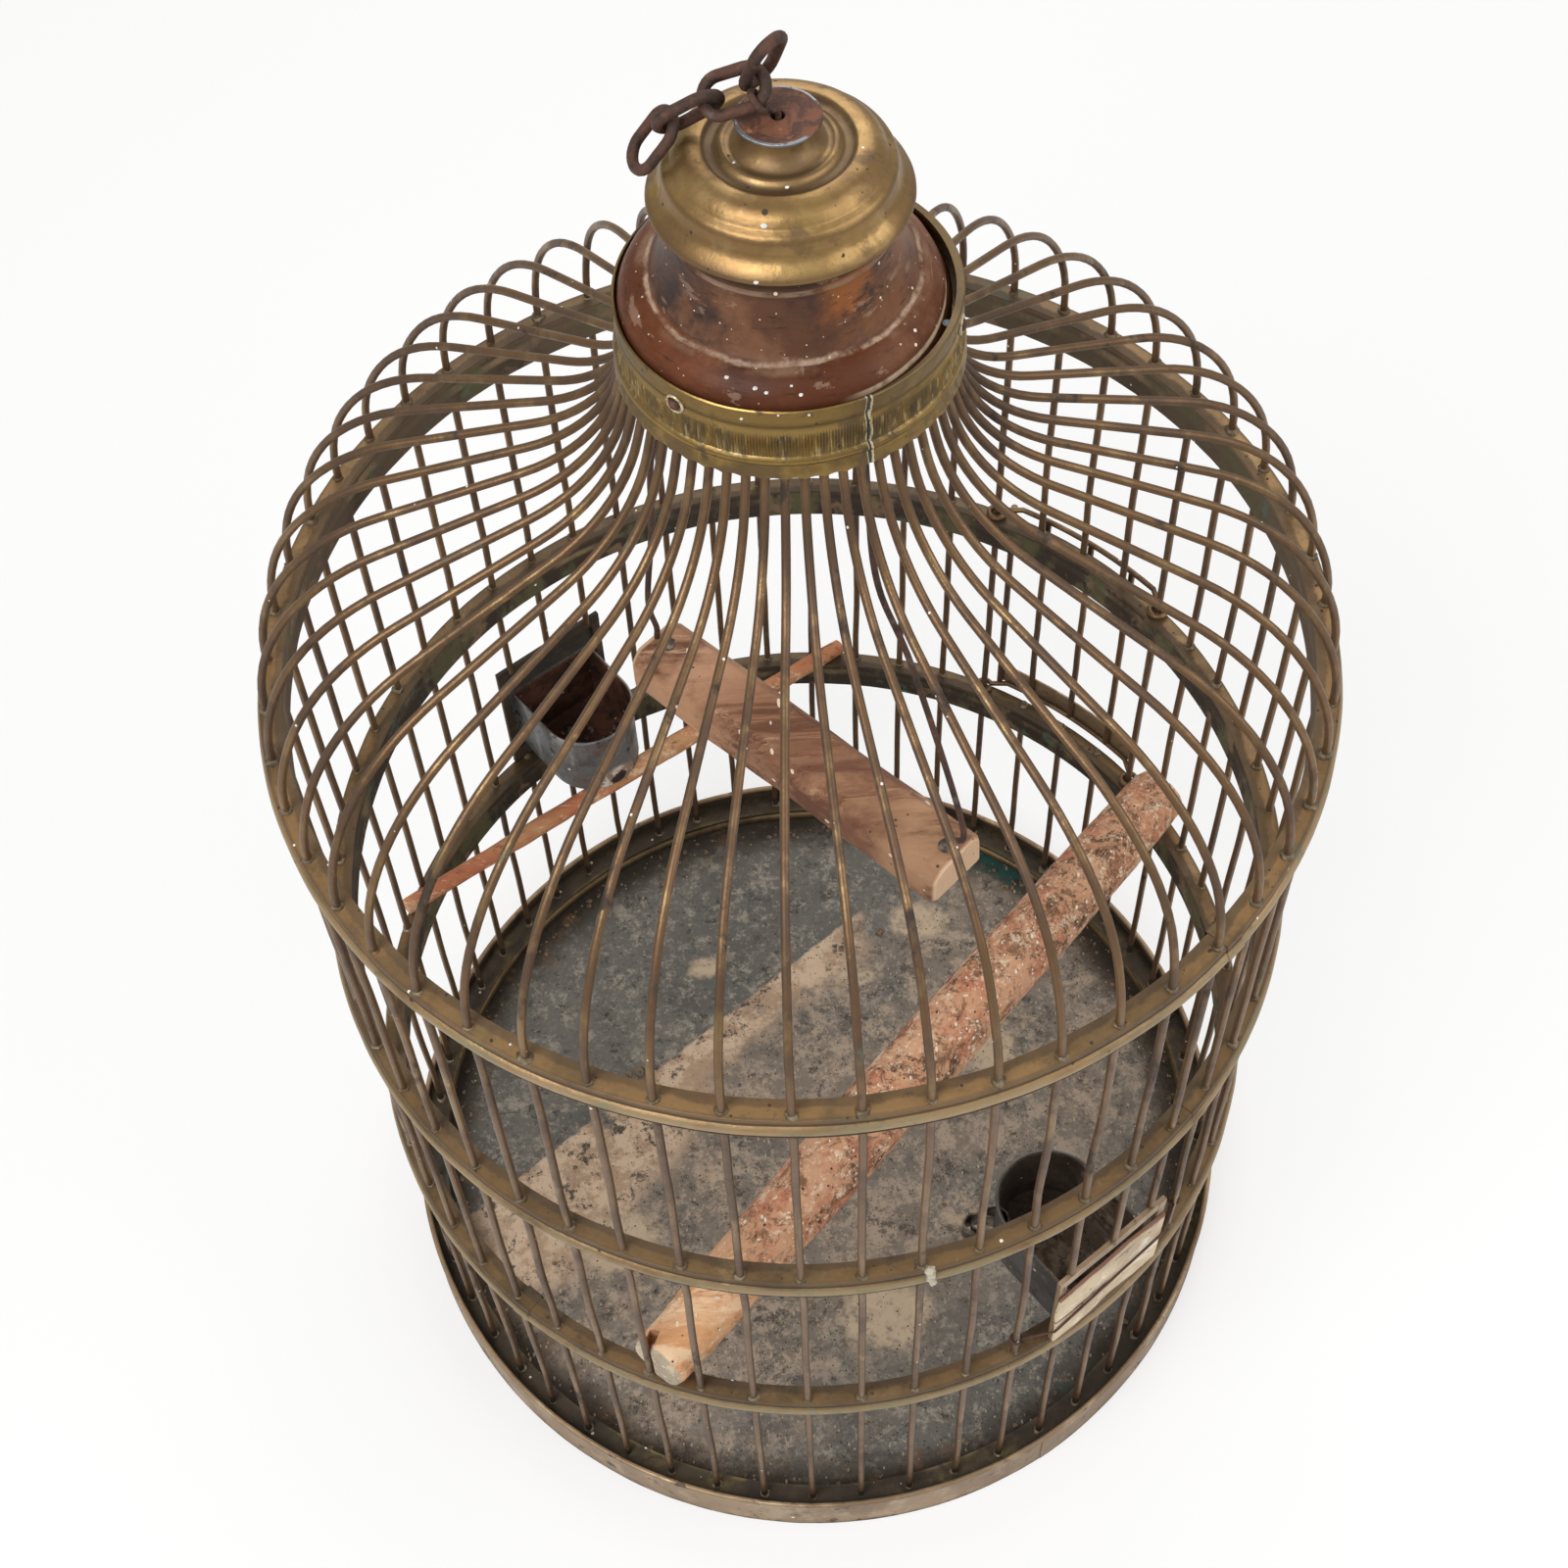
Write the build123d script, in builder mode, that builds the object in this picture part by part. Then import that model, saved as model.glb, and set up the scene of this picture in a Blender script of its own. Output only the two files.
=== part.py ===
from build123d import *

import os
from math import atan2, cos, degrees, pi, radians, sin

os.makedirs("parts", exist_ok=True)

# Round wire cage for a parrot, soldered from brass bars and folded tin hoops.
# Millimetres and degrees. The origin is the middle of the foot rim, +Z is up,
# and azimuth 0 is +X. Bar number k stands at azimuth k * bar_pitch.

# Bars, and the indexes at which a long row of them is parted into two
cage_radius = 190.0
bar_count = 54
bar_dia = 3.0
bar_sides = 6
bar_pitch = 360 / bar_count
spring_height = 418.0
shoulder_radius = 80.0
shoulder_turn = 70.0
shoulder_facets = 3
neck_radius = 55.0
neck_turn = 55.0
neck_facets = 2
neck_run = 24.0
foot_depth = 1.4
left_row_index = 29
front_row_index = 37

# Sheet metal and the facets that stand for round rims
sheet = 0.8
rim_sides = 36
finial_sides = 24
solder_gap = 0.3
solder_bite = 0.43
running_gap = 0.3

# Foot: a band with a hemmed lip, a floor sheet and the ledge that the bars stand on
band_reach = 7.4
band_radius = cage_radius + band_reach
band_height = 26.0
band_lip = 2.4
band_lip_depth = 2.0
hem_height = 3.2
hem_width = 5.0
ledge_height = 18.0
ledge_inset = 5.4
ledge_leg_reach = 1.8
ledge_inner = cage_radius - ledge_inset
ledge_leg = cage_radius + ledge_leg_reach
bead_height = 10.0
bead_reach = 5.5
bead_half = 2.5
bead_shoulder_share = 0.7

# Folded hoops, by the height of their flat top, and their section beside the bar circle
hoop_heights = {"lower": 151.0, "middle": 282.0, "shoulder": spring_height}
hoop_inset = 5.4
hoop_edge = 2.6
hoop_step_depth = 3.4
hoop_bead_reach = 4.2
hoop_bead_top = 5.2
hoop_bead_low = 8.4
hoop_lip_reach = 3.0
hoop_lip_depth = 11.0
hoop_skirt_depth = 16.0

# Ends of the bars: they stand round the ring inside the collar, so the crown's run follows
collar_radius = 51.6
inner_ring_gap = 5.4
inner_ring_wall = 3.0
inner_ring_height = 11.6
inner_ring_outer = collar_radius - sheet - inner_ring_gap
bar_end_radius = inner_ring_outer + bar_dia / 2 - solder_bite
crown_slope = radians(90 - shoulder_turn)
neck_slope = crown_slope + radians(neck_turn)
shoulder_inward = shoulder_radius * (1 - sin(crown_slope))
neck_inward = neck_radius * (sin(neck_slope) - sin(crown_slope)) + neck_run * cos(neck_slope)
crown_run = (cage_radius - shoulder_inward - neck_inward - bar_end_radius) / cos(crown_slope)
shoulder_rise = shoulder_radius * cos(crown_slope)
neck_rise = neck_radius * (cos(crown_slope) - cos(neck_slope)) + neck_run * sin(neck_slope)
bar_end_height = spring_height + shoulder_rise + crown_run * sin(crown_slope) + neck_rise

# Collar and the turned wood block, set by the ends of the bars
collar_drop = 12.14
collar_height = 27.5
collar_foot = bar_end_height - collar_drop
collar_top = collar_foot + collar_height
collar_flare = 1.6
collar_groove = 0.4
collar_bead = 1.3
collar_level_shares = (0.0, 0.19, 0.25, 0.31, 0.66, 0.73, 0.8, 1.0)
collar_bead_foot_share = 0.7
ring_rise = 1.46
wood_foot = bar_end_height + ring_rise
wood_radius = collar_radius - sheet - solder_gap
wood_height = 64.4
wood_shares = (
    (1.0, 0.0),
    (1.0, 0.12),
    (0.968, 0.18),
    (0.925, 0.235),
    (0.84, 0.28),
    (0.813, 0.315),
    (0.823, 0.355),
    (0.79, 0.395),
    (0.733, 0.725),
    (0.637, 0.737),
    (0.637, 0.92),
    (0.547, 1.0),
)

# Spun brass cap, as shares of its rim radius and of its height over the rim
cap_radius = 38.6
cap_seat = 50.0
cap_foot = wood_foot + cap_seat
cap_height = 26.0
bolt_dia = 3.4
cap_outer_shares = (
    (0.994, 0.0),
    (1.0, 0.055),
    (0.92, 0.17),
    (0.876, 0.285),
    (0.876, 0.38),
    (0.845, 0.47),
    (0.803, 0.51),
    (0.772, 0.58),
    (0.70, 0.655),
    (0.622, 0.692),
    (0.565, 0.69),
    (0.55, 0.654),
    (0.48, 0.646),
    (0.445, 0.70),
    (0.415, 0.715),
    (0.324, 0.738),
    (0.272, 0.823),
    (0.246, 1.0),
)
cap_inner_shares = (
    (0.225, 0.965),
    (0.305, 0.70),
    (0.50, 0.612),
    (0.735, 0.565),
    (0.85, 0.34),
    (0.974, 0.0),
)
washer_dia = 24.8
washer_sheet = 1.2
washer_sides = 18

# Chain and its eye, placed from the middle of the washer's top in shares of a link's length
link_length = 22.6
link_width = 14.6
link_bar = 3.6
link_sides = 6
link_facets = 4
link_place_shares = {
    "a": (-0.1481, 0.2348, 0.6235),
    "b": (-0.5200, 0.1409, 0.2751),
    "c": (-1.0936, 0.1563, -0.0063),
    "d": (-1.5543, 0.1623, -0.4264),
}
link_along_shares = {
    "a": (0.2795, -0.2797, 0.9185),
    "b": (-0.9203, 0.1106, -0.3753),
    "c": (-0.8754, -0.0234, -0.4829),
    "d": (-0.6193, -0.1240, -0.7753),
}
link_normal_shares = {
    "a": (-0.6570, 0.6418, 0.3954),
    "b": (0.3698, 0.5595, -0.7418),
    "c": (0.2872, -0.8287, -0.4804),
    "d": (-0.7350, -0.2558, 0.6280),
}
eye_place_shares = (-0.2339, -0.0545, 0.2703)
eye_normal_shares = (0.8063, 0.1199, 0.5792)
eye_ring_radius = 3.3
eye_bar = 2.0
eye_facets = 8
bolt_rise = 1.0
bolt_depth = 16.0

# Feeding hatches: two doorways in the wall between the lower hoop and a strip
feeder_bar_count = 3
frame_width = 58.0
frame_sheet = 2.0
frame_post = 4.0
strip_height = 6.0
front_feeder_index = 46
front_hatch_height = 59.0
rear_feeder_index = 19
rear_hatch_height = 70.0
cup_width = 44.0
cup_depth = 50.0
cup_height = 39.0
cup_sheet = 1.0
cup_facets = 8
plate_sheet = 1.0
plate_height = 46.0
rear_plate_width = 56.0
tie_dia = 1.2
tie_sides = 4
tie_loop_turn_shares = (0.0, 0.18, 0.36, 0.54, 0.72, 0.88)
tie_loop_slack = 0.2
tie_rises = (16.0, 27.0)

# Lift door on the outside of the wall
door_first_index = 5
door_last_index = 9
door_reach = 6.4
door_radius = cage_radius + door_reach
door_rod_dia = 2.5
door_side_inset = 5.5
door_eye_radius = 3.5
door_eye_turn_shares = (0.12, -0.01, -0.14, -0.27, -0.40, -0.53, -0.66, -0.76)
door_run_in = 10.0
rail_height = 12.0
rail_sheet = 1.0

# Swing on two screw eyes under the block
swing_azimuth = 315.3
swing_eye_drop = 7.6
swing_drop = 216.0
swing_pivot_height = wood_foot - swing_eye_drop
swing_wire_dia = 2.4
swing_eye_reach = 34.5
swing_eye_radius = 2.8
swing_eye_bar = 2.2
swing_eye_hook = 3.4
swing_eye_depth = 4.0
swing_bar_length = 158.0
swing_bar_width = 29.0
swing_bar_height = 20.0
swing_bar_top = swing_pivot_height - swing_drop
swing_bar_bevel = 5.0
swing_end_bevel = 2.5
swing_wire_depth = 6.0
swing_right_shares = ((1.0, 0.97), (1.04, 0.9), (0.71, 0.57), (0.5, 0.42), (0.44, 0.24), (0.41, 0.06))
swing_left_shares = ((1.0, 0.97), (1.04, 0.9), (0.95, 0.68), (0.88, 0.46), (0.62, 0.22), (0.42, 0.06))
swing_hook_reach = 76.0

# Perches that lie on the lower hoop
log_from_azimuth = 247.9
log_to_azimuth = 27.2
log_notch_indexes = (37, 4)
log_end_reach = 1.0
log_end_radius = cage_radius + log_end_reach
seat_gap = 0.1
log_sides = 10
log_dia_shares = ((0.0, 0.8), (0.12, 0.87), (0.38, 1.0), (0.62, 0.97), (0.85, 0.94), (1.0, 0.88))
log_dia = 33.0
stick_from_azimuth = 164.13
stick_to_azimuth = 82.53
stick_end_reach = 3.0
stick_end_radius = cage_radius + stick_end_reach
stick_dia = 10.5
stick_sides = 8
stick_dia_shares = ((0.0, 0.9), (0.5, 1.0), (1.0, 0.9))


def at(radius, azimuth, height=0.0):
    """Point on the cage at a radius, an azimuth and a height."""
    return (radius * cos(radians(azimuth)), radius * sin(radians(azimuth)), height)


def wall_plane(azimuth, radius=0.0, height=0.0):
    """Upright plane through the axis: local x points outward and local y up."""
    return Plane(at(radius, azimuth, height), x_dir=at(1, azimuth), z_dir=at(1, azimuth - 90))


def level_plane(azimuth, height, radius=0.0):
    """Level plane: local x points outward at the azimuth, and local z points up."""
    return Plane(at(radius, azimuth, height), x_dir=at(1, azimuth), z_dir=(0, 0, 1))


def save(piece, name):
    """Labels one finished piece and writes its file."""
    piece.part.label = name
    export_step(piece.part, f"parts/{name}.step")


def rim(outline, path_radius, sides):
    """Ring with flat facets: an outline of (radius, height) points carried round the axis."""
    step = 360 / sides
    flat = path_radius * cos(pi / sides)
    corners = [at(path_radius, step * i) for i in range(1, sides + 1)]
    with BuildPart() as ring:
        with BuildLine() as loop:
            Polyline(at(flat, step / 2), *corners, at(flat, step / 2))
        with BuildSketch(wall_plane(step / 2)):
            with BuildLine():
                Polyline(*[(radius * cos(pi / sides), height) for radius, height in outline], close=True)
            make_face()
        sweep(path=loop.line, transition=Transition.RIGHT)
    return ring


def wire(points, dia, sides):
    """Straight runs of wire mitred at each point."""
    start = Vector(*points[0])
    heading = Vector(*points[1]) - start
    with BuildPart() as run:
        with BuildLine() as path:
            Polyline(*points)
        with BuildSketch(Plane(start, z_dir=heading)):
            RegularPolygon(radius=dia / 2, side_count=sides)
        sweep(path=path.line, transition=Transition.RIGHT)
    return run


def ring_wire(plane, radius, dia, facets):
    """Closed round eye of wire in a plane, from the middle of one of its facets."""
    step = 2 * pi / facets
    turns = [step * (i + 1 / 2) for i in range(facets)]
    start = (radius * cos(pi / facets), 0)
    flat = [start] + [(radius * cos(t), radius * sin(t)) for t in turns] + [start]
    return wire([plane.from_local_coords((x, y, 0)) for x, y in flat], dia, link_sides)


def chain_link(plane):
    """Oval chain link, its long way along the plane's x."""
    round_radius = (link_width - link_bar) / 2
    half_run = (link_length - link_width) / 2
    turns = [pi * i / link_facets for i in range(link_facets + 1)]
    far = [(half_run + round_radius * sin(t), -round_radius * cos(t)) for t in turns]
    near = [(-half_run - round_radius * sin(t), round_radius * cos(t)) for t in turns]
    start = (0, -round_radius)
    flat = [start] + far + near + [start]
    return wire([plane.from_local_coords((x, y, 0)) for x, y in flat], link_bar, link_sides)


def bar_points(low):
    """Points of bar 0 in its own upright plane, from a low end over the shoulder to the collar."""
    shoulder = [radians(shoulder_turn * i / shoulder_facets) for i in range(shoulder_facets + 1)]
    points = [(cage_radius, low)]
    points += [
        (cage_radius - shoulder_radius * (1 - cos(t)), spring_height + shoulder_radius * sin(t))
        for t in shoulder
    ]
    start = (cage_radius - shoulder_inward, spring_height + shoulder_rise)
    crown = (start[0] - crown_run * cos(crown_slope), start[1] + crown_run * sin(crown_slope))
    neck = [crown_slope + radians(neck_turn * i / neck_facets) for i in range(neck_facets + 1)]
    points += [
        (
            crown[0] - neck_radius * (sin(t) - sin(crown_slope)),
            crown[1] + neck_radius * (cos(crown_slope) - cos(t)),
        )
        for t in neck
    ]
    points.append((bar_end_radius, bar_end_height))
    return points


def tall_bar(low):
    """One bar from a low end to the collar, at azimuth 0."""
    return wire([(radius, 0, height) for radius, height in bar_points(low)], bar_dia, bar_sides)


def short_bar(low, high, radius=cage_radius):
    """One straight bar at azimuth 0."""
    return wire([(radius, 0, low), (radius, 0, high)], bar_dia, bar_sides)


def bar_row(name, shape, first, count):
    """A row of like bars from bar number first on, one solid each."""
    with BuildPart() as row:
        for i in range(count):
            add(shape.part.rotate(Axis.Z, (first + i) * bar_pitch))
    save(row, name)


# Foot
foot_inner = band_radius - sheet
band_outline = [
    (band_radius, 0),
    (band_radius, band_height),
    (band_radius - band_lip, band_height),
    (band_radius - band_lip, band_height - band_lip_depth),
    (foot_inner, band_height - band_lip_depth),
    (foot_inner, hem_height),
    (band_radius - hem_width, hem_height),
    (band_radius - hem_width, 0),
]
base_band = rim(band_outline, band_radius, rim_sides)
save(base_band, "base_band")

with BuildPart() as floor_sheet:
    with BuildSketch(level_plane(0, hem_height)):
        RegularPolygon(radius=foot_inner, side_count=rim_sides)
    extrude(amount=sheet)
save(floor_sheet, "floor_sheet")

floor_top = hem_height + sheet
ledge_outline = [
    (ledge_inner, ledge_height),
    (foot_inner, ledge_height),
    (foot_inner, ledge_height - sheet),
    (ledge_leg, ledge_height - sheet),
    (ledge_leg, floor_top),
    (ledge_leg - sheet, floor_top),
    (ledge_leg - sheet, ledge_height - sheet),
    (ledge_inner, ledge_height - sheet),
]
base_ledge = rim(ledge_outline, cage_radius, rim_sides)
save(base_ledge, "base_ledge")

bead_seat = ledge_leg - sheet
bead_outline = [
    (bead_seat, bead_height - bead_half),
    (bead_seat, bead_height + bead_half),
    (bead_seat - bead_reach * bead_shoulder_share, bead_height + bead_half),
    (bead_seat - bead_reach, bead_height),
    (bead_seat - bead_reach * bead_shoulder_share, bead_height - bead_half),
]
base_bead = rim(bead_outline, bead_seat, rim_sides)
save(base_bead, "base_bead")

# Hoops
hoop_section = [
    (-hoop_inset, 0),
    (hoop_edge, 0),
    (hoop_edge, -hoop_step_depth),
    (hoop_bead_reach, -hoop_bead_top),
    (hoop_bead_reach, -hoop_bead_low),
    (hoop_lip_reach, -hoop_lip_depth),
    (hoop_lip_reach - sheet, -hoop_lip_depth),
    (hoop_edge - sheet, -sheet),
    (-hoop_inset + sheet, -sheet),
    (-hoop_inset + sheet, -hoop_skirt_depth),
    (-hoop_inset, -hoop_skirt_depth),
]
for hoop_name, hoop_top in hoop_heights.items():
    hoop_outline = [(cage_radius + across, hoop_top + up) for across, up in hoop_section]
    save(rim(hoop_outline, cage_radius, rim_sides), f"{hoop_name}_hoop")

# Bars in rows between the openings
foot_level = ledge_height - foot_depth
lower_top = hoop_heights["lower"]
middle_top = hoop_heights["middle"]
full_bar = tall_bar(foot_level)
door_bar_count = door_last_index - door_first_index - 1
front_first = front_feeder_index - feeder_bar_count // 2
rear_first = rear_feeder_index - feeder_bar_count // 2
row_ends = {
    "bars_right": (0, door_first_index + 1),
    "bars_left_of_door": (door_last_index, rear_first),
    "bars_left": (rear_first + feeder_bar_count, left_row_index),
    "bars_front_left": (left_row_index, front_row_index),
    "bars_front": (front_row_index, front_first),
    "bars_front_right": (front_first + feeder_bar_count, bar_count),
}
for row_name, (row_first, row_end) in row_ends.items():
    bar_row(row_name, full_bar, row_first, row_end - row_first)

stub_bar = short_bar(foot_level, lower_top)
bar_row("door_lower_bars", stub_bar, door_first_index + 1, door_bar_count)
bar_row("door_upper_bars", tall_bar(middle_top - foot_depth), door_first_index + 1, door_bar_count)
bar_row("front_feeder_lower_bars", stub_bar, front_first, feeder_bar_count)
front_cut_foot = lower_top + front_hatch_height - foot_depth
bar_row("front_feeder_upper_bars", tall_bar(front_cut_foot), front_first, feeder_bar_count)
bar_row("rear_feeder_lower_bars", stub_bar, rear_first, feeder_bar_count)
rear_cut_foot = lower_top + rear_hatch_height - foot_depth
bar_row("rear_feeder_upper_bars", tall_bar(rear_cut_foot), rear_first, feeder_bar_count)

# Collar: a pressed band with a groove, a plain field, a bead and a flared foot
collar_levels = [collar_top - share * collar_height for share in collar_level_shares]
collar_bead_foot = collar_bead * collar_bead_foot_share
collar_reaches = [0, 0, -collar_groove, 0, 0, collar_bead, collar_bead_foot, collar_flare]
collar_outer = [(collar_radius + reach, level) for reach, level in zip(collar_reaches, collar_levels)]
collar_inner = [
    (collar_radius + collar_flare - sheet, collar_foot),
    (collar_radius - sheet, collar_levels[4]),
    (collar_radius - sheet, collar_top),
]
save(rim(collar_outer + collar_inner, collar_radius, finial_sides), "collar_band")

inner_ring_outline = [
    (inner_ring_outer - inner_ring_wall, wood_foot - inner_ring_height),
    (inner_ring_outer, wood_foot - inner_ring_height),
    (inner_ring_outer, wood_foot),
    (inner_ring_outer - inner_ring_wall, wood_foot),
]
save(rim(inner_ring_outline, inner_ring_outer, finial_sides), "collar_ring")

# Turned wood block with a spigot for the cap
with BuildPart() as wood_block:
    for (foot_share, low_share), (head_share, high_share) in zip(wood_shares, wood_shares[1:]):
        rise = (high_share - low_share) * wood_height
        inward = (foot_share - head_share) * wood_radius * cos(pi / finial_sides)
        with BuildSketch(level_plane(0, wood_foot + low_share * wood_height)):
            RegularPolygon(radius=wood_radius * foot_share, side_count=finial_sides)
        extrude(amount=rise, taper=degrees(atan2(inward, rise)))
save(wood_block, "wood_block")

# Spun cap, washer and the eye bolt down through them
bolt_hole = bolt_dia / 2 + solder_gap
cap_top = cap_foot + cap_height
cap_outer = [(cap_radius * out, cap_foot + cap_height * up) for out, up in cap_outer_shares]
cap_inner = [(cap_radius * out, cap_foot + cap_height * up) for out, up in cap_inner_shares]
cap_bore = [(bolt_hole, cap_top), (bolt_hole, cap_inner[0][1])]
save(rim(cap_outer + cap_bore + cap_inner, cap_radius, finial_sides), "brass_cap")

washer_top = cap_top + washer_sheet
washer_outline = [
    (bolt_hole, cap_top),
    (washer_dia / 2, cap_top),
    (washer_dia / 2, washer_top),
    (bolt_hole, washer_top),
]
save(rim(washer_outline, washer_dia / 2, washer_sides), "cap_washer")

# Eye bolt: a straight shank through the cap, bent over into an eye
washer_centre = Vector(0, 0, washer_top)
eye_centre = washer_centre + Vector(*eye_place_shares) * link_length
eye_side = Vector(*eye_normal_shares).cross(Vector(0, -1, 0))
eye_plane = Plane(eye_centre, x_dir=eye_side, z_dir=eye_normal_shares)
eye_turns = [2 * pi * i / eye_facets for i in range(eye_facets)]
eye_flat = [(eye_ring_radius * cos(t), eye_ring_radius * sin(t), 0) for t in eye_turns]
eye_foot = min([eye_plane.from_local_coords(place) for place in eye_flat], key=lambda place: place.Z)
shank = [(0, 0, cap_top - bolt_depth), (0, 0, washer_top + bolt_rise), eye_foot]
with BuildPart() as eye_bolt:
    add(ring_wire(eye_plane, eye_ring_radius, eye_bar, eye_facets).part)
    add(wire(shank, eye_bar, link_sides).part)
save(eye_bolt, "eye_bolt")

# Chain links
for letter, place in link_place_shares.items():
    centre = washer_centre + Vector(*place) * link_length
    plane = Plane(centre, x_dir=link_along_shares[letter], z_dir=link_normal_shares[letter])
    save(chain_link(plane), f"chain_link_{letter}")


# Feeding hatches
def hatch_frame(name, bar, height, sill):
    """Doorway frame on the lower hoop, with a strip that carries the cut bars."""
    centre = bar * bar_pitch
    back = level_plane(centre, lower_top, cage_radius)
    opening = frame_width - 2 * frame_post
    with BuildPart() as frame:
        with BuildSketch(back):
            Rectangle(frame_sheet, frame_width)
        extrude(amount=height)
        with BuildSketch(back.offset(sill)):
            Rectangle(2 * frame_sheet, opening)
        extrude(amount=height - strip_height - sill, mode=Mode.SUBTRACT)
    save(frame, name)


def cup_outline(inset):
    """Outline of a cup seen from above: a flat front and a round back."""
    half = cup_width / 2
    middle = half - cup_depth
    turns = [pi * i / cup_facets for i in range(cup_facets + 1)]
    round_back = [(middle - (half - inset) * sin(t), (half - inset) * cos(t)) for t in turns]
    return [(-inset, half - inset)] + round_back + [(-inset, inset - half)]


def feed_cup(name, bar, foot, front):
    """Open cup that stands in a hatch, its flat front at a radius."""
    floor = level_plane(bar * bar_pitch, foot, front)
    with BuildPart() as cup:
        with BuildSketch(floor):
            with BuildLine():
                Polyline(*cup_outline(0), close=True)
            make_face()
        extrude(amount=cup_height)
        with BuildSketch(floor.offset(cup_sheet)):
            with BuildLine():
                Polyline(*cup_outline(cup_sheet), close=True)
            make_face()
        extrude(amount=cup_height, mode=Mode.SUBTRACT)
    save(cup, name)


def feed_plate(name, bar, foot, front, width):
    """Plate on the front of a cup, outside the hatch."""
    with BuildPart() as plate:
        with BuildSketch(level_plane(bar * bar_pitch, foot, front)):
            Rectangle(plate_sheet, width, align=(Align.MIN, Align.CENTER))
        extrude(amount=plate_height)
    save(plate, name)


frame_front = cage_radius + frame_sheet / 2
hatch_frame("front_feeder_frame", front_feeder_index, front_hatch_height, 0)
feed_cup("front_feeder_cup", front_feeder_index, lower_top, frame_front)
feed_plate("front_feeder_plate", front_feeder_index, lower_top, frame_front, frame_width)

# The rear cup slides in its hatch, over a sill as high as the stick that it also rests on
sill_height = seat_gap + stick_dia * cos(pi / stick_sides)
rear_cup_foot = lower_top + sill_height + running_gap
rear_front = frame_front + running_gap
hatch_frame("rear_feeder_frame", rear_feeder_index, rear_hatch_height, sill_height)
feed_cup("rear_feeder_cup", rear_feeder_index, rear_cup_foot, rear_front)
feed_plate("rear_feeder_plate", rear_feeder_index, rear_cup_foot, rear_front, rear_plate_width)

# Rusty wire tied round two bars and across the front plate
tie_plane = level_plane(front_feeder_index * bar_pitch, 0, cage_radius)
tie_reach = frame_sheet / 2 + plate_sheet + tie_dia
tie_loop = (bar_dia + tie_dia) / 2 + tie_loop_slack


def tie_end(side, height):
    """Loop of the tie wire round the bar on one side, from its loose end to the plate's edge."""
    turned = side * 2 * bar_pitch
    middle = (cage_radius * cos(radians(turned)) - cage_radius, cage_radius * sin(radians(turned)))
    turns = [2 * pi * share for share in tie_loop_turn_shares]
    drop = [tie_dia * 3 / 2 * (1 - share) for share in tie_loop_turn_shares]
    loop = [
        (middle[0] + tie_loop * cos(t), middle[1] + side * tie_loop * sin(t), height - fall)
        for t, fall in zip(turns, drop)
    ]
    return loop + [(tie_reach, side * (frame_width / 2 + tie_dia), height)]


tie_left = tie_end(-1, lower_top + tie_rises[0])
tie_right = tie_end(1, lower_top + tie_rises[1])
tie_points = [tie_plane.from_local_coords(point) for point in tie_left + tie_right[::-1]]
save(wire(tie_points, tie_dia, tie_sides), "tie_wire")

# Lift door
door_foot = lower_top + running_gap + door_rod_dia / 2
door_head = middle_top + running_gap + door_rod_dia / 2


def door_eye(bar, side):
    """Eye of a door rod round a fixed bar, up to the point where the rod leaves for the door."""
    azimuth = bar * bar_pitch
    turns = [2 * pi * share for share in door_eye_turn_shares]
    out = [(cage_radius + door_eye_radius * cos(t), side * door_eye_radius * sin(t)) for t in turns]
    middle = level_plane(azimuth, 0)
    points = [middle.from_local_coords((x, y, 0)) for x, y in out]
    run_in = degrees(door_run_in / door_radius)
    return points[::-1] + [Vector(*at(door_radius, azimuth + side * run_in))]


def door_rod(height):
    """Cross rod of the door, with an eye round the fixed bar at each end."""
    between = range(door_first_index + 1, door_last_index)
    across = [Vector(*at(door_radius, index * bar_pitch)) for index in between]
    points = door_eye(door_first_index, 1) + across + door_eye(door_last_index, -1)[::-1]
    return wire([point + Vector(0, 0, height) for point in points], door_rod_dia, link_sides)


save(door_rod(door_foot), "door_bottom_rod")
save(door_rod(door_head), "door_top_rod")
bar_row("door_wires", short_bar(door_foot, door_head, door_radius), door_first_index + 1, door_bar_count)
side_turn = door_side_inset / cage_radius * 180 / pi
side_places = [door_first_index * bar_pitch + side_turn, door_last_index * bar_pitch - side_turn]
side_rod = short_bar(door_foot, door_head, door_radius)
with BuildPart() as door_side_rods:
    for place in side_places:
        add(side_rod.part.rotate(Axis.Z, place))
save(door_side_rods, "door_side_rods")

rail_places = [side_places[0]] + [(door_first_index + 1 + i) * bar_pitch for i in range(door_bar_count)]
rail_places.append(side_places[1])
rail_inner = door_radius + bar_dia / 2
with BuildPart() as door_rail:
    with BuildSketch(level_plane(0, door_foot - door_rod_dia / 2)):
        with BuildLine():
            inner_edge = [at(rail_inner, place)[:2] for place in rail_places]
            outer_edge = [at(rail_inner + rail_sheet, place)[:2] for place in rail_places]
            Polyline(*inner_edge, *outer_edge[::-1], close=True)
        make_face()
    extrude(amount=rail_height)
save(door_rail, "door_rail")

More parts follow.
